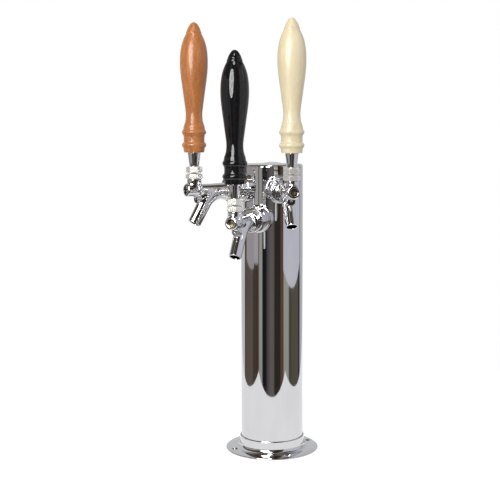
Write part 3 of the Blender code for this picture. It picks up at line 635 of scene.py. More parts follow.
def tap_field(place):
    """Field of the tap's cast body with its bores."""
    rear, _ = reaches("faucet_body")
    boss_front = reaches("coupling_nut")[1] + FIT
    hub_front = reaches("faucet_body")[1]
    neck_top = heights("faucet_body")[1]
    line = spout_line()
    stretched = place / np.array((SPOUT_WIDTH_SHARE, 1, 1))
    tube = None
    for start, end in zip(line, line[1:]):
        ends = (on_plane(*start[:2]), on_plane(*end[:2]))
        part = cone_field(stretched, *ends, start[2], end[2])
        tube = part if tube is None else np.minimum(tube, part)
    forward = -place[..., 1]
    tube = smooth_max(tube, boss_front - OVERRUN - forward, FIT)
    slope_way = np.array(on_plane(math.sin(SPOUT_LEAN), -math.cos(SPOUT_LEAN)))
    mouth = (place - np.array(on_plane(SPOUT_REACH, -SPOUT_DROP))) @ slope_way
    tube = smooth_max(tube, mouth, BORE_EDGE)

    barrel = rod_field(
        place, on_plane(rear + RECESS_DEPTH, 0), on_plane(LEVER_REACH, 0), BARREL_R, FIT
    )
    hub = rod_field(
        place,
        on_plane(hub_front - HUB_LENGTH, 0),
        on_plane(hub_front, 0),
        HUB_R,
        HUB_EDGE,
    )
    neck = rod_field(
        place,
        on_plane(LEVER_REACH, -NECK_ROOT_DEPTH),
        on_plane(LEVER_REACH, neck_top),
        NECK_R,
        FIT,
    )
    away = np.hypot(place[..., 0], forward - LEVER_REACH)
    flank = (NECK_R - NECK_ROOT_R) / (NECK_SHOULDER + NECK_ROOT_DEPTH)
    taper = (away - NECK_R - (place[..., 2] - NECK_SHOULDER) * flank) / math.hypot(1, flank)
    neck = smooth_max(neck, taper, SMALL_BLEND)
    vent_boss = rod_field(
        place,
        on_plane(VENT_BOSS_FRONT - VENT_BOSS_LENGTH, -VENT_BOSS_DROP),
        on_plane(VENT_BOSS_FRONT, -VENT_BOSS_DROP),
        VENT_BOSS_R,
        BORE_EDGE,
    )
    body = smooth_min(tube, barrel, WEB_BLEND)
    body = smooth_min(body, hub, JOIN_BLEND)
    body = smooth_min(body, neck, JOIN_BLEND)
    body = smooth_min(body, vent_boss, JOIN_BLEND)
    boss = rod_field(
        place, on_plane(rear, 0), on_plane(boss_front, 0), COUPLING_BORE_R - FIT, FIT
    )
    body = smooth_min(body, boss, FIT)

    bores = (
        (rear - OVERRUN, rear + RECESS_DEPTH, 0, RECESS_R),
        (rear, hub_front + OVERRUN, 0, BODY_BORE_R),
        (VENT_BOSS_FRONT - VENT_BOSS_LENGTH, VENT_BOSS_FRONT + OVERRUN, -VENT_BOSS_DROP, VENT_R),
    )
    for start, end, height, radius in bores:
        hole = rod_field(place, on_plane(start, height), on_plane(end, height), radius, 0)
        body = smooth_max(body, -hole, BORE_EDGE)
    neck_bore = rod_field(
        place,
        on_plane(LEVER_REACH, NECK_FLOOR),
        on_plane(LEVER_REACH, neck_top + OVERRUN),
        NECK_BORE_R,
        0,
    )
    body = smooth_max(body, -neck_bore, BORE_EDGE)
    slot = half_width("lever" + CENTER) / 2
    window = box_field(
        place,
        (-slot, -LEVER_REACH - slot, 0),
        (slot, -LEVER_REACH + slot + PIVOT_HEIGHT * math.sin(LEVER_TRAVEL), neck_top),
    )
    body = smooth_max(body, -window, BORE_EDGE)
    inlet = SPOUT_DROP / math.cos(SPOUT_LEAN) - FIT
    mouth_at = Vector(on_plane(SPOUT_REACH, -SPOUT_DROP))
    down = Vector(slope_way)
    spout_bore = rod_field(
        place, mouth_at - down * inlet, mouth_at + down * OVERRUN, SPOUT_BORE_R, 0
    )
    return smooth_max(body, -spout_bore, BORE_EDGE)


def tap_body():
    """Cast body of a tap, in its own plane."""
    rear, front = reaches("faucet_body")
    low, high = heights("faucet_body")
    side = COUPLING_BORE_R + OVERRUN
    return surface_of(
        tap_field,
        (-side, -front - OVERRUN, low - OVERRUN),
        (side, -rear + OVERRUN, high + OVERRUN),
        BODY_GRID,
    )


def coupling_nut():
    """Round nut with a stepped, rounded front and spanner slots."""
    rear, front = reaches("coupling_nut")
    radius = half_width("coupling_nut" + CENTER)
    shank_r = half_width("shank_flange" + CENTER) / 2

    def field(place):
        away = np.hypot(place[..., 0], place[..., 2])
        forward = -place[..., 1]
        shell = rod_field(
            place, on_plane(rear, 0), on_plane(front, 0), radius, COUPLING_FRONT_EDGE
        )
        skirt = rod_field(
            place,
            on_plane(rear, 0),
            on_plane((rear + front) / 2, 0),
            radius,
            COUPLING_REAR_EDGE,
        )
        shell = np.minimum(shell, skirt)
        step = np.maximum(away - COUPLING_STEP_R, front - COUPLING_STEP_DEPTH - forward)
        shell = smooth_max(shell, -step, BORE_EDGE)
        bore = np.maximum(away - COUPLING_BORE_R, rear + COUPLING_LIP - forward)
        shell = smooth_max(shell, -bore, BORE_EDGE)
        shell = smooth_max(shell, shank_r - away, FIT)
        turn = np.arctan2(place[..., 0], place[..., 2])
        share = math.tau / SLOT_COUNT
        turn = turn - share * np.round(turn / share)
        across = np.abs(away * np.sin(turn)) - SLOT_WIDTH / 2
        along = np.abs(forward - (rear + front) / 2) - SLOT_LENGTH / 2
        deep = radius - SLOT_DEPTH - away * np.cos(turn)
        slot = np.maximum(np.maximum(across, along), deep)
        return smooth_max(shell, -slot, BORE_EDGE)

    edge = radius + OVERRUN
    return surface_of(
        field,
        (-edge, -front - OVERRUN, -edge),
        (edge, -rear + OVERRUN, edge),
        RING_GRID,
    )


def shank_flange():
    """Saddle fitted to the column, with a lip and a barrel up to the coupling nut."""
    _, front = reaches("shank_flange")
    radius = half_width("shank_flange" + CENTER)
    shank_r = radius / 2
    lip_front = COLUMN_R + SADDLE_LIP

    def field(place):
        away = np.hypot(place[..., 0], place[..., 2])
        lip = rod_field(place, on_plane(0, 0), on_plane(lip_front, 0), radius, SADDLE_EDGE)
        barrel = rod_field(
            place, on_plane(0, 0), on_plane(front, 0), SADDLE_BARREL_R, SADDLE_EDGE
        )
        shape = smooth_min(lip, barrel, SADDLE_FILLET)
        shape = smooth_max(shape, shank_r + FIT - away, FIT)
        column = np.hypot(place[..., 0], place[..., 1]) - COLUMN_R - FIT
        return smooth_max(shape, -column, FIT)

    edge = radius + OVERRUN
    rear = math.sqrt(COLUMN_R**2 - radius**2)
    return surface_of(
        field,
        (-edge, -front - OVERRUN, -edge),
        (edge, -rear + OVERRUN, edge),
        RING_GRID,
    )


def flat_radius(node):
    """Half the width across a nut's flats."""
    low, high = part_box(node)
    return (high.y - low.y) / 2


def nut_mesh(flat_r, bottom, top, bore, lower, upper):
    """Hexagonal nut on Z; lower and upper are the land radius and angle of its chamfers."""
    corner_r = flat_r / math.cos(math.pi / NUT_SIDES)
    side_turn = math.tau / NUT_SIDES

    def field(place):
        away = np.hypot(place[..., 0], place[..., 1])
        height = place[..., 2]
        turn = np.arctan2(place[..., 0], -place[..., 1])
        turn = turn - side_turn * np.round(turn / side_turn)
        shape = away * np.cos(turn) - flat_r
        for past, (land_r, chamfer) in ((bottom - height, lower), (height - top, upper)):
            shape = smooth_max(shape, past, NUT_EDGE)
            bevel = past * math.cos(chamfer) + (away - land_r) * math.sin(chamfer)
            shape = smooth_max(shape, bevel, NUT_EDGE)
        return smooth_max(shape, bore(height) - away, NUT_EDGE)

    edge = corner_r + OVERRUN
    mesh = surface_of(
        field,
        (-edge, -edge, bottom - OVERRUN),
        (edge, edge, top + OVERRUN),
        NUT_GRID,
    )
    return moved(mesh, AT_LEVER)


def bonnet_nut():
    """Nut on the tap's neck, flared inside so that the lever can tilt."""
    _, top = heights("bonnet_nut")
    bottom = heights("faucet_body")[1] + FIT

    def bore(height):
        room = STUD_R / math.cos(LEVER_TRAVEL) + FIT
        return np.maximum(height - PIVOT_HEIGHT, 0) * math.tan(LEVER_TRAVEL) + room

    flat_r = flat_radius("bonnet_nut" + CENTER)
    land_r = flat_r * LAND_SHARE
    chamfers = ((land_r, NUT_CHAMFER), (land_r, BONNET_TOP_CHAMFER))
    return nut_mesh(flat_r, bottom, top, bore, *chamfers)


def jam_nut():
    """Nut on the lever's stud, hollow below to clear the bonnet nut."""
    bottom, top = heights("jam_nut")
    flat_r = flat_radius("jam_nut" + CENTER)
    rim_r = flat_r * JAM_RIM_SHARE

    def bore(height):
        hollow = rim_r - JAM_RIM - (height - bottom) / math.tan(JAM_HOLLOW)
        return np.maximum(hollow, STUD_R + FIT)

    chamfers = ((rim_r, NUT_CHAMFER), (flat_r * LAND_SHARE, NUT_CHAMFER))
    return nut_mesh(flat_r, bottom, top, bore, *chamfers)


def lever():
    """Ball, finger and stud of the lever."""
    _, top = heights("lever")
    ball_r = half_width("lever" + CENTER)
    tip_r = ball_r / 2
    finger_r = tip_r * FINGER_SHARE
    tip_end = math.acos(finger_r / tip_r)
    ball_start = -math.acos(finger_r / ball_r)
    ball_end = math.acos(STUD_R / ball_r)
    outline = [(-tip_r, 0)]
    outline += arc((0, 0), tip_r, -math.pi / 3, tip_end)
    outline += arc((PIVOT_HEIGHT, 0), ball_r, ball_start, ball_end, 16)
    outline += [(top, STUD_R), (top, 0)]
    return moved(turned(outline, HANDLE_STEPS), AT_LEVER)


def ferrule():
    """Conical ferrule between the jam nut and the handle."""
    bottom, top = heights("handle_ferrule")
    shoulder = top - FERRULE_SPIGOT
    top_r = half_width("handle_ferrule" + CENTER)
    foot_r = half_width("handle_ferrule" + CENTER) * FERRULE_FOOT_SHARE
    outline = [(bottom, STUD_R + FIT)]
    outline += arc(
        (bottom + FERRULE_FOOT_EDGE, foot_r - FERRULE_FOOT_EDGE),
        FERRULE_FOOT_EDGE,
        -math.pi / 2,
        0,
    )
    outline += arc(
        (shoulder - FERRULE_FOOT_EDGE, top_r - FERRULE_FOOT_EDGE),
        FERRULE_FOOT_EDGE,
        0,
        math.pi / 2,
    )
    outline += [(shoulder, FERRULE_SPIGOT_R), (top, FERRULE_SPIGOT_R), (top, STUD_R + FIT)]
    return moved(turned(outline, HANDLE_STEPS), AT_LEVER)


def handle():
    """Turned wooden handle with its two beads and rounded top."""
    bottom, top = heights("handle")
    belly_r = half_width("handle" + CENTER)
    bore_r = FERRULE_SPIGOT_R + FIT
    bore_top = bottom + FERRULE_SPIGOT
    outline = [(bore_top, 0), (bore_top, bore_r), (bottom, bore_r)]
    shares = splined(HANDLE_SHARES)
    outline += [
        (bottom + (top - bottom) * height, belly_r * max(radius, 0))
        for height, radius in shares[:-1]
    ]
    outline.append((top, 0))
    return moved(turned(outline, HANDLE_STEPS), AT_LEVER)


# Column pieces


def column_tube():
    """Column with its three shank holes."""
    low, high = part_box("column_tube")
    inner = COLUMN_R - COLUMN_WALL
    outline = ((low.z, inner), (low.z, COLUMN_R), (high.z, COLUMN_R), (high.z, inner))
    hole_r = half_width("shank_center") + FIT
    tools = []
    for side in SIDES:
        hole = turned(
            ((0, 0), (0, hole_r), (COLUMN_R + OVERRUN, hole_r), (COLUMN_R + OVERRUN, 0)),
            HANDLE_STEPS,
        )
        place = Matrix.Translation((0, -COLUMN_Y, 0)) @ tap_place(side) @ FORWARD
        tools.append(moved(hole, place))
    return cut(turned(outline), tools)


def top_cap():
    """Pressed-in cap with a rounded shoulder and a shallow dome."""
    low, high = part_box("top_cap")
    flat = high.z - CAP_DOME_RISE
    seam = flat - CAP_SHOULDER_R
    skirt_r = COLUMN_R - COLUMN_WALL - FIT
    outline = [(high.z, 0)]
    dome_steps = 10
    for step in range(1, dome_steps + 1):
        share = step / dome_steps
        rise = CAP_DOME_RISE * (1 + math.cos(math.pi * share)) / 2
        outline.append((flat + rise, CAP_DOME_R * share))
    shoulder = arc((seam, COLUMN_R - CAP_SHOULDER_R), CAP_SHOULDER_R, 0, math.pi / 2)
    outline += reversed(shoulder)
    outline += [
        (seam, skirt_r),
        (low.z, skirt_r),
        (low.z, skirt_r - CAP_WALL),
        (flat - CAP_WALL, skirt_r - CAP_WALL),
        (flat - CAP_WALL, 0),
    ]
    return turned(outline)


def base_flange():
    """Round plate with a bevelled rim, a filleted collar and countersunk holes."""
    low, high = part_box("base_flange")
    rim_r = half_width("base_flange")
    collar_r = COLUMN_R + FIT + COLLAR_WALL
    collar_edge = COLLAR_WALL / 2
    outline = [(low.z, LINE_HOLE_R), (low.z, rim_r - PLATE_EDGE_R)]
    outline += arc((PLATE_EDGE_R, rim_r - PLATE_EDGE_R), PLATE_EDGE_R, -math.pi / 2, 0, 4)
    outline += arc(
        (PLATE_THICK - BEVEL_DROP - PLATE_EDGE_R, rim_r - PLATE_EDGE_R),
        PLATE_EDGE_R,
        0,
        math.pi / 2,
        4,
    )
    outline.append((PLATE_THICK, rim_r - BEVEL_WIDTH))
    outline += arc(
        (PLATE_THICK + COLLAR_FILLET_R, collar_r + COLLAR_FILLET_R),
        COLLAR_FILLET_R,
        -math.pi / 2,
        -math.pi,
    )
    outline += arc((high.z - collar_edge, collar_r - collar_edge), collar_edge, 0, math.pi / 2)
    outline.append((high.z, COLUMN_R + FIT))
    outline += [(PLATE_THICK, COLUMN_R + FIT), (PLATE_THICK, LINE_HOLE_R)]
    sink = COUNTERSINK_R - SCREW_HOLE_R
    hole = (
        (-OVERRUN, 0),
        (-OVERRUN, SCREW_HOLE_R),
        (PLATE_THICK - sink, SCREW_HOLE_R),
        (PLATE_THICK + OVERRUN, COUNTERSINK_R + OVERRUN),
        (PLATE_THICK + OVERRUN, 0),
    )
    tools = []
    for index in range(SCREW_COUNT):
        angle = math.tau * (index + 1 / 2) / SCREW_COUNT
        place = Matrix.Rotation(angle, 4, "Z") @ Matrix.Translation((SCREW_CIRCLE_R, 0, 0))
        tools.append(moved(turned(hole, HANDLE_STEPS), place))
    return cut(turned(outline), tools)


# Materials


class Nodes:
    """A material's node tree with short calls for the nodes used here."""

    def __init__(self, name):
        self.material = bpy.data.materials.new(name)
        self.material.use_nodes = True
        self.tree = self.material.node_tree
        self.shader = self.tree.nodes["Principled BSDF"]

    def add(self, kind, **values):
        """A node with its properties set."""
        node = self.tree.nodes.new(kind)
        for key, value in values.items():
            setattr(node, key, value)
        return node

    def join(self, output, target):
        """Links one socket to another."""
        self.tree.links.new(output, target)

    def place(self, stretch, offset=(0, 0, 0)):
        """Object coordinates, stretched."""
        coordinates = self.add("ShaderNodeTexCoord")
        mapping = self.add("ShaderNodeMapping")
        mapping.inputs["Scale"].default_value = stretch
        mapping.inputs["Location"].default_value = offset
        self.join(coordinates.outputs["Object"], mapping.inputs["Vector"])
        return mapping.outputs["Vector"]

    def noise(self, vector, scale, detail=2.0, roughness=0.5, distortion=0.0):
        """Noise texture output."""
        node = self.add("ShaderNodeTexNoise")
        node.inputs["Scale"].default_value = scale
        node.inputs["Detail"].default_value = detail
        node.inputs["Roughness"].default_value = roughness
        node.inputs["Distortion"].default_value = distortion
        self.join(vector, node.inputs["Vector"])
        return node.outputs["Fac"]

    def ramp(self, value, stops):
        """Colour ramp output from (place, colour) stops."""
        node = self.add("ShaderNodeValToRGB")
        elements = node.color_ramp.elements
        while len(elements) > 1:
            elements.remove(elements[-1])
        for index, (spot, colour) in enumerate(stops):
            element = elements[0] if index == 0 else elements.new(spot)
            element.position = spot
            element.color = (*colour, 1)
        self.join(value, node.inputs["Fac"])
        return node.outputs["Color"]

    def spread(self, value, low, high, out_low, out_high):
        """Map range output."""
        node = self.add("ShaderNodeMapRange")
        node.inputs["From Min"].default_value = low
        node.inputs["From Max"].default_value = high
        node.inputs["To Min"].default_value = out_low
        node.inputs["To Max"].default_value = out_high
        self.join(value, node.inputs["Value"])
        return node.outputs["Result"]

    def bump(self, value, strength, distance):
        """Bump feeding the shader's normal."""
        node = self.add("ShaderNodeBump")
        node.inputs["Strength"].default_value = strength
        node.inputs["Distance"].default_value = distance
        self.join(value, node.inputs["Height"])
        self.join(node.outputs["Normal"], self.shader.inputs["Normal"])


def metal(name, light, dark, smooth, rough, wave=0.0, metallic=1.0):
    """Plated or machined metal: slight tone and gloss changes, and a faint waviness."""
    nodes = Nodes(name)
    nodes.shader.inputs["Metallic"].default_value = metallic
    broad = nodes.noise(nodes.place((1, 1, 0.35)), 38, detail=3)
    fine = nodes.noise(nodes.place((1, 1, 1)), 420, detail=4)
    nodes.join(
        nodes.ramp(broad, ((0.3, dark), (0.7, light))), nodes.shader.inputs["Base Color"]
    )
    nodes.join(
        nodes.spread(fine, 0.35, 0.7, smooth, rough), nodes.shader.inputs["Roughness"]
    )
    if wave:
        nodes.bump(broad, wave, 0.0002)
    return nodes.material


def plain(name, light, dark, rough, scale, bump):
    """Rubber, nylon or foam: mottled colour with a fine grain in its surface."""
    nodes = Nodes(name)
    grain = nodes.noise(nodes.place((1, 1, 1)), scale, detail=5)
    nodes.join(
        nodes.ramp(grain, ((0.3, dark), (0.7, light))), nodes.shader.inputs["Base Color"]
    )
    nodes.join(
        nodes.spread(grain, 0.3, 0.7, rough, min(1.0, rough + 0.15)),
        nodes.shader.inputs["Roughness"],
    )
    nodes.bump(grain, bump, 0.0003)
    return nodes.material


def wood(name, tones, grain_depth, offset, gloss):
    """Turned wood under clear lacquer: long fibres, pores and broad growth bands."""
    nodes = Nodes(name)
    light, middle, dark = tones
    bands = nodes.noise(nodes.place((1, 1, 0.08), offset), 90, detail=2, distortion=0.6)
    fibres = nodes.noise(nodes.place((1, 1, 0.045), offset), 900, detail=4, roughness=0.6)
    pores = nodes.noise(nodes.place((1, 1, 0.09), offset), 2400, detail=2)
    mixed = nodes.add("ShaderNodeMix", data_type="FLOAT")
    mixed.inputs["Factor"].default_value = 0.45
    nodes.join(bands, mixed.inputs["A"])
    nodes.join(fibres, mixed.inputs["B"])
    body = nodes.ramp(
        mixed.outputs["Result"], ((0.32, dark), (0.5, middle), (0.66, light))
    )
    specks = nodes.spread(pores, 0.56, 0.68, 0.0, grain_depth)
    shade = nodes.add("ShaderNodeMix", data_type="RGBA", blend_type="MULTIPLY")
    nodes.join(specks, shade.inputs["Factor"])
    nodes.join(body, shade.inputs["A"])
    shade.inputs["B"].default_value = (0.45, 0.30, 0.20, 1)
    nodes.join(shade.outputs["Result"], nodes.shader.inputs["Base Color"])
    nodes.join(
        nodes.spread(fibres, 0.3, 0.7, gloss, gloss + 0.12), nodes.shader.inputs["Roughness"]
    )
    nodes.shader.inputs["Coat Weight"].default_value = 0.6
    nodes.shader.inputs["Coat Roughness"].default_value = gloss / 2
    nodes.bump(fibres, 0.12, 0.0001)
    return nodes.material


def lacquer(name, offset):
    """Opaque black gloss lacquer on turned wood, with a soft orange peel."""
    nodes = Nodes(name)
    peel = nodes.noise(nodes.place((1, 1, 0.5), offset), 160, detail=2)
    fine = nodes.noise(nodes.place((1, 1, 0.06), offset), 1200, detail=3)
    nodes.join(
        nodes.ramp(fine, ((0.3, (0.004, 0.004, 0.005)), (0.7, (0.010, 0.010, 0.011)))),
        nodes.shader.inputs["Base Color"],
    )
    nodes.join(
        nodes.spread(peel, 0.3, 0.7, 0.10, 0.16), nodes.shader.inputs["Roughness"]
    )
    nodes.shader.inputs["Specular IOR Level"].default_value = 0.0
    nodes.shader.inputs["Coat Weight"].default_value = 1.0
    nodes.shader.inputs["Coat Roughness"].default_value = 0.04
    nodes.bump(peel, 0.05, 0.0002)
    return nodes.material


def finishes():
    """Every material, by the record's slot name."""
    return {
        "chrome": metal("chrome", (0.76, 0.76, 0.77), (0.70, 0.70, 0.72), 0.025, 0.05, 0.04),
        "nickel": metal(
            "nickel", (0.97, 0.95, 0.90), (0.91, 0.89, 0.83), 0.34, 0.46, metallic=0.7
        ),
        "steel": metal("steel", (0.58, 0.58, 0.58), (0.46, 0.46, 0.47), 0.22, 0.36),
        # Brass tones kept dark brown: partly the brass's own aged colour, partly painted shade for the shadowed
        # inside of the hub bore.
        "brass": metal("brass", (0.34, 0.27, 0.18), (0.20, 0.15, 0.10), 0.30, 0.45),
        "rubber": plain("rubber", (0.030, 0.030, 0.030), (0.016, 0.016, 0.017), 0.60, 900, 0.2),
        "nylon": plain("nylon", (0.80, 0.79, 0.73), (0.72, 0.70, 0.64), 0.42, 600, 0.1),
        "foam": plain("foam", (0.74, 0.71, 0.63), (0.52, 0.49, 0.42), 0.90, 1400, 0.8),
        "orange_wood": wood(
            "orange_wood",
            ((0.66, 0.27, 0.075), (0.54, 0.195, 0.048), (0.38, 0.12, 0.028)),
            0.80,
            (0, 0, 0),
            0.36,
        ),
        "black_lacquer": lacquer("black_lacquer", (0.3, 0, 0)),
        "pale_wood": wood(
            "pale_wood",
            ((0.85, 0.75, 0.52), (0.80, 0.69, 0.45), (0.72, 0.59, 0.36)),
            0.14,
            (0.7, 0.2, 0),
            0.40,
        ),
    }


# Placing the pieces


def add_piece(node, mesh, body, slot, place, materials):
    """A visible piece that stands for a node of the frame."""
    mesh.transform(place)
    mesh.materials.clear()
    mesh.materials.append(materials[slot])
    piece = bpy.data.objects.new("fine_" + node, mesh)
    bpy.context.scene.collection.objects.link(piece)
    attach(piece, body)
    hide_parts(node)
    return piece


def slot_of_nodes():
    """The record's material slot of each node."""
    return {row["node"]: row["material_slot"] for row in frame["record"]["subparts"]}


def build_object():
    """Every visible piece of the tower."""
    materials = finishes()
    slots = slot_of_nodes()
    column = Matrix.Translation((0, COLUMN_Y, 0))
    for node, maker, body in (
        ("base_flange", base_flange, "tower"),
        ("column_tube", column_tube, "tower"),
        ("top_cap", top_cap, "cap"),
    ):
        add_piece(node, maker(), body, slots[node], column, materials)
    shapes = (
        ("shank_flange", shank_flange(), "tower"),
        ("coupling_nut", coupling_nut(), "tower"),
        ("faucet_body", tap_body(), "tower"),
        ("bonnet_nut", bonnet_nut(), "tower"),
        ("lever", lever(), "lever_assembly_"),
        ("jam_nut", jam_nut(), "lever_assembly_"),
        ("handle_ferrule", ferrule(), "lever_assembly_"),
        ("handle", handle(), "lever_assembly_"),
    )
    for side in SIDES:
        for kind, mesh, body in shapes:
            node = kind + "_" + side
            rides = body + side if body.endswith("_") else body
            add_piece(node, mesh.copy(), rides, slots[node], tap_place(side), materials)
    for node, item in frame["nodes"].items():
        if not item.hide_render:
            for spot in item.material_slots:
                spot.material = materials[slots[node]]
            if not item.material_slots:
                item.data.materials.append(materials[slots[node]])


# Studio


def towards(turn, rise, distance):
    """A place seen from the column at this turn from the camera and height above level."""
    heading = CAMERA_TURN + turn
    level = distance * math.cos(rise)
    middle = (cad_high[2] + cad_low[2]) / 2
    return Vector(
        (
            level * math.sin(heading),
            COLUMN_Y - level * math.cos(heading),
            middle + distance * math.sin(rise),
        )
    )


def add_camera():
    """Camera at the photograph's place."""
    data = bpy.data.cameras.new("camera")
    data.sensor_width = CAMERA_SENSOR
    data.lens = CAMERA_LENS
    data.shift_x = CAMERA_SHIFT_X
    data.shift_y = CAMERA_SHIFT_Y
    camera = bpy.data.objects.new("camera", data)
    camera.location = (
        CAMERA_DISTANCE * math.sin(CAMERA_TURN),
        COLUMN_Y - CAMERA_DISTANCE * math.cos(CAMERA_TURN),
        CAMERA_HEIGHT,
    )
    camera.rotation_euler = (math.pi / 2 - CAMERA_TILT, 0, CAMERA_TURN)
    bpy.context.scene.collection.objects.link(camera)
    bpy.context.scene.camera = camera


def add_card(name, corners, tone, glow, mirrored_glow=None):
    """A lit card of the studio, unseen by the camera; it can look brighter in a mirror."""
    mesh = bpy.data.meshes.new(name)
    mesh.from_pydata([tuple(corner) for corner in corners], [], [tuple(range(len(corners)))])
    nodes = Nodes(name)
    light = nodes.add("ShaderNodeEmission")
    light.inputs["Color"].default_value = (*tone, 1)
    light.inputs["Strength"].default_value = glow
    shown = light.outputs["Emission"]
    if mirrored_glow:
        folds = nodes.noise(nodes.place(FOLD_STRETCH), FOLD_SCALE, detail=3, distortion=FOLD_TWIST)
        mirrored = nodes.add("ShaderNodeEmission")
        nodes.join(
            nodes.spread(folds, FOLD_LOW, FOLD_HIGH, mirrored_glow / FOLD_CONTRAST, mirrored_glow),
            mirrored.inputs["Strength"],
        )
        rays = nodes.add("ShaderNodeLightPath")
        by_gloss = nodes.add("ShaderNodeMixShader")
        nodes.join(rays.outputs["Is Glossy Ray"], by_gloss.inputs["Fac"])
        nodes.join(shown, by_gloss.inputs[1])
        nodes.join(mirrored.outputs["Emission"], by_gloss.inputs[2])
        shown = by_gloss.outputs["Shader"]
    nodes.join(shown, nodes.tree.nodes["Material Output"].inputs["Surface"])
    mesh.materials.append(nodes.material)
    card = bpy.data.objects.new(name, mesh)
    bpy.context.scene.collection.objects.link(card)
    card.visible_camera = False


def round_card(turn, rise, distance, width, height, points):
    """Corners of an oval card that faces the column."""
    centre = towards(turn, rise, distance)
    aim = (towards(0, 0, 0) - centre).normalized()
    across = aim.cross(Vector((0, 0, 1))).normalized()
    up = across.cross(aim)
    corners = []
    for index in range(points):
        angle = math.tau * index / points
        way = across * width * math.cos(angle) + up * height * math.sin(angle)
        corners.append(centre + way / 2)
    return corners


def panel(turn, distance, left, right, height):
    """Corners of a card that stands on the floor and faces the column."""
    heading = CAMERA_TURN + turn
    foot = Vector((math.sin(heading), -math.cos(heading), 0)) * distance
    foot.y += COLUMN_Y
    across = Vector((math.cos(heading), math.sin(heading), 0))
    up = Vector((0, 0, height))
    low = (foot - across * left, foot + across * right)
    return (low[0], low[1], low[1] + up, low[0] + up)


def add_paper():
    """White paper under the tower, which keeps its soft shadow."""
    corners = []
    turn = Matrix.Rotation(CAMERA_TURN, 4, "Z")
    for across, back in (
        (-PAPER_HALF_WIDTH, -PAPER_FRONT),
        (PAPER_HALF_WIDTH, -PAPER_FRONT),
        (PAPER_HALF_WIDTH, PAPER_BACK),
        (-PAPER_HALF_WIDTH, PAPER_BACK),
    ):
        corners.append(turn @ Vector((across, back, -FIT)) + Vector((0, COLUMN_Y, 0)))
    mesh = bpy.data.meshes.new("paper")
    mesh.from_pydata([tuple(corner) for corner in corners], [], [(0, 1, 2, 3)])
    nodes = Nodes("paper")
    tree = nodes.tree
    nodes.shader.inputs["Base Color"].default_value = (*PAPER_TONE, 1)
    nodes.shader.inputs["Roughness"].default_value = 1.0
    nodes.shader.inputs["Specular IOR Level"].default_value = 0.0
    rays = nodes.add("ShaderNodeLightPath")
    lift = nodes.add("ShaderNodeEmission")
    lift.inputs["Strength"].default_value = PAPER_LIFT
    seen = nodes.add("ShaderNodeAddShader")
    nodes.join(nodes.shader.outputs["BSDF"], seen.inputs[0])
    nodes.join(lift.outputs["Emission"], seen.inputs[1])
    mirrored = nodes.add("ShaderNodeEmission")
    mirrored.inputs["Strength"].default_value = PAPER_GLOW
    by_camera = nodes.add("ShaderNodeMixShader")
    nodes.join(rays.outputs["Is Camera Ray"], by_camera.inputs["Fac"])
    nodes.join(nodes.shader.outputs["BSDF"], by_camera.inputs[1])
    nodes.join(seen.outputs["Shader"], by_camera.inputs[2])
    by_gloss = nodes.add("ShaderNodeMixShader")
    nodes.join(rays.outputs["Is Glossy Ray"], by_gloss.inputs["Fac"])
    nodes.join(by_camera.outputs["Shader"], by_gloss.inputs[1])
    nodes.join(mirrored.outputs["Emission"], by_gloss.inputs[2])
    nodes.join(by_gloss.outputs["Shader"], tree.nodes["Material Output"].inputs["Surface"])
    mesh.materials.append(nodes.material)
    paper = bpy.data.objects.new("paper", mesh)
    bpy.context.scene.collection.objects.link(paper)


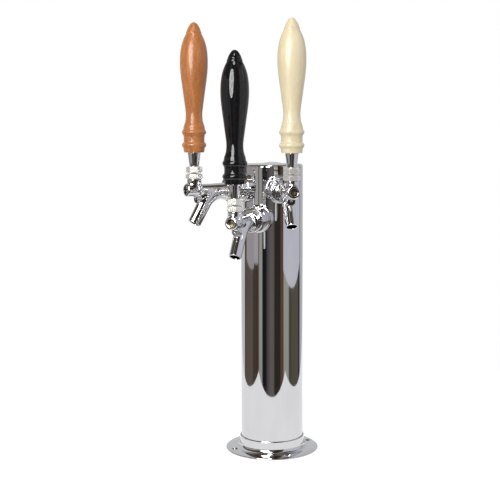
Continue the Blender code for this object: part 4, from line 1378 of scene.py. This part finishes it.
def add_world():
    """White to the camera, soft pale light on the object, and a dim room in the metal."""
    world = bpy.data.worlds.new("studio")
    world.use_nodes = True
    bpy.context.scene.world = world
    tree = world.node_tree
    tree.nodes.clear()

    def node(kind, **values):
        made = tree.nodes.new(kind)
        for key, value in values.items():
            setattr(made, key, value)
        return made

    def math_node(operation, first, second=None):
        made = node("ShaderNodeMath", operation=operation)
        for index, value in enumerate((first, second)):
            if value is None:
                continue
            if isinstance(value, (int, float)):
                made.inputs[index].default_value = value
            else:
                tree.links.new(value, made.inputs[index])
        return made.outputs["Value"]

    coordinates = node("ShaderNodeTexCoord")
    turn = node("ShaderNodeVectorRotate", rotation_type="Z_AXIS")
    turn.inputs["Angle"].default_value = -CAMERA_TURN
    tree.links.new(coordinates.outputs["Generated"], turn.inputs["Vector"])
    parts = node("ShaderNodeSeparateXYZ")
    tree.links.new(turn.outputs["Vector"], parts.inputs["Vector"])
    back = math_node("MULTIPLY", parts.outputs["Y"], -1.0)
    azimuth = math_node("ARCTAN2", parts.outputs["X"], back)
    share = math_node("ADD", math_node("DIVIDE", azimuth, math.tau), 0.5)
    ramp = node("ShaderNodeValToRGB")
    elements = ramp.color_ramp.elements
    elements.remove(elements[-1])
    for index, (degrees, tone) in enumerate(ROOM_TONES):
        spot = degrees / 360 + 0.5
        element = elements[0] if index == 0 else elements.new(spot)
        element.position = spot
        element.color = (*tone, 1)
    tree.links.new(share, ramp.inputs["Fac"])
    rays = node("ShaderNodeLightPath")
    soft = node("ShaderNodeBackground")
    soft.inputs["Color"].default_value = (*SOFT_TONE, 1)
    soft.inputs["Strength"].default_value = SOFT_GLOW
    room = node("ShaderNodeBackground")
    tree.links.new(ramp.outputs["Color"], room.inputs["Color"])
    white = node("ShaderNodeBackground")
    white.inputs["Color"].default_value = (*WHITE, 1)
    by_gloss = node("ShaderNodeMixShader")
    tree.links.new(rays.outputs["Is Glossy Ray"], by_gloss.inputs["Fac"])
    tree.links.new(soft.outputs["Background"], by_gloss.inputs[1])
    tree.links.new(room.outputs["Background"], by_gloss.inputs[2])
    by_camera = node("ShaderNodeMixShader")
    tree.links.new(rays.outputs["Is Camera Ray"], by_camera.inputs["Fac"])
    tree.links.new(by_gloss.outputs["Shader"], by_camera.inputs[1])
    tree.links.new(white.outputs["Background"], by_camera.inputs[2])
    output = node("ShaderNodeOutputWorld")
    tree.links.new(by_camera.outputs["Shader"], output.inputs["Surface"])


def build_studio():
    """Camera, room, paper and lights."""
    bpy.context.scene.view_settings.view_transform = "Standard"
    add_camera()
    add_world()
    add_paper()
    for index, (*place, tone) in enumerate(PANELS):
        add_card("panel_" + str(index), panel(*place), tone, 1.0)
    key = round_card(KEY_TURN, KEY_RISE, KEY_DISTANCE, KEY_WIDTH, KEY_HEIGHT, KEY_POINTS)
    add_card("key_card", key, WHITE, KEY_GLOW, KEY_MIRRORED_GLOW)
    top = round_card(TOP_TURN, TOP_RISE, TOP_DISTANCE, TOP_SIZE, TOP_SIZE, TOP_POINTS)
    add_card("top_card", top, WHITE, TOP_GLOW)


build_object()
build_studio()
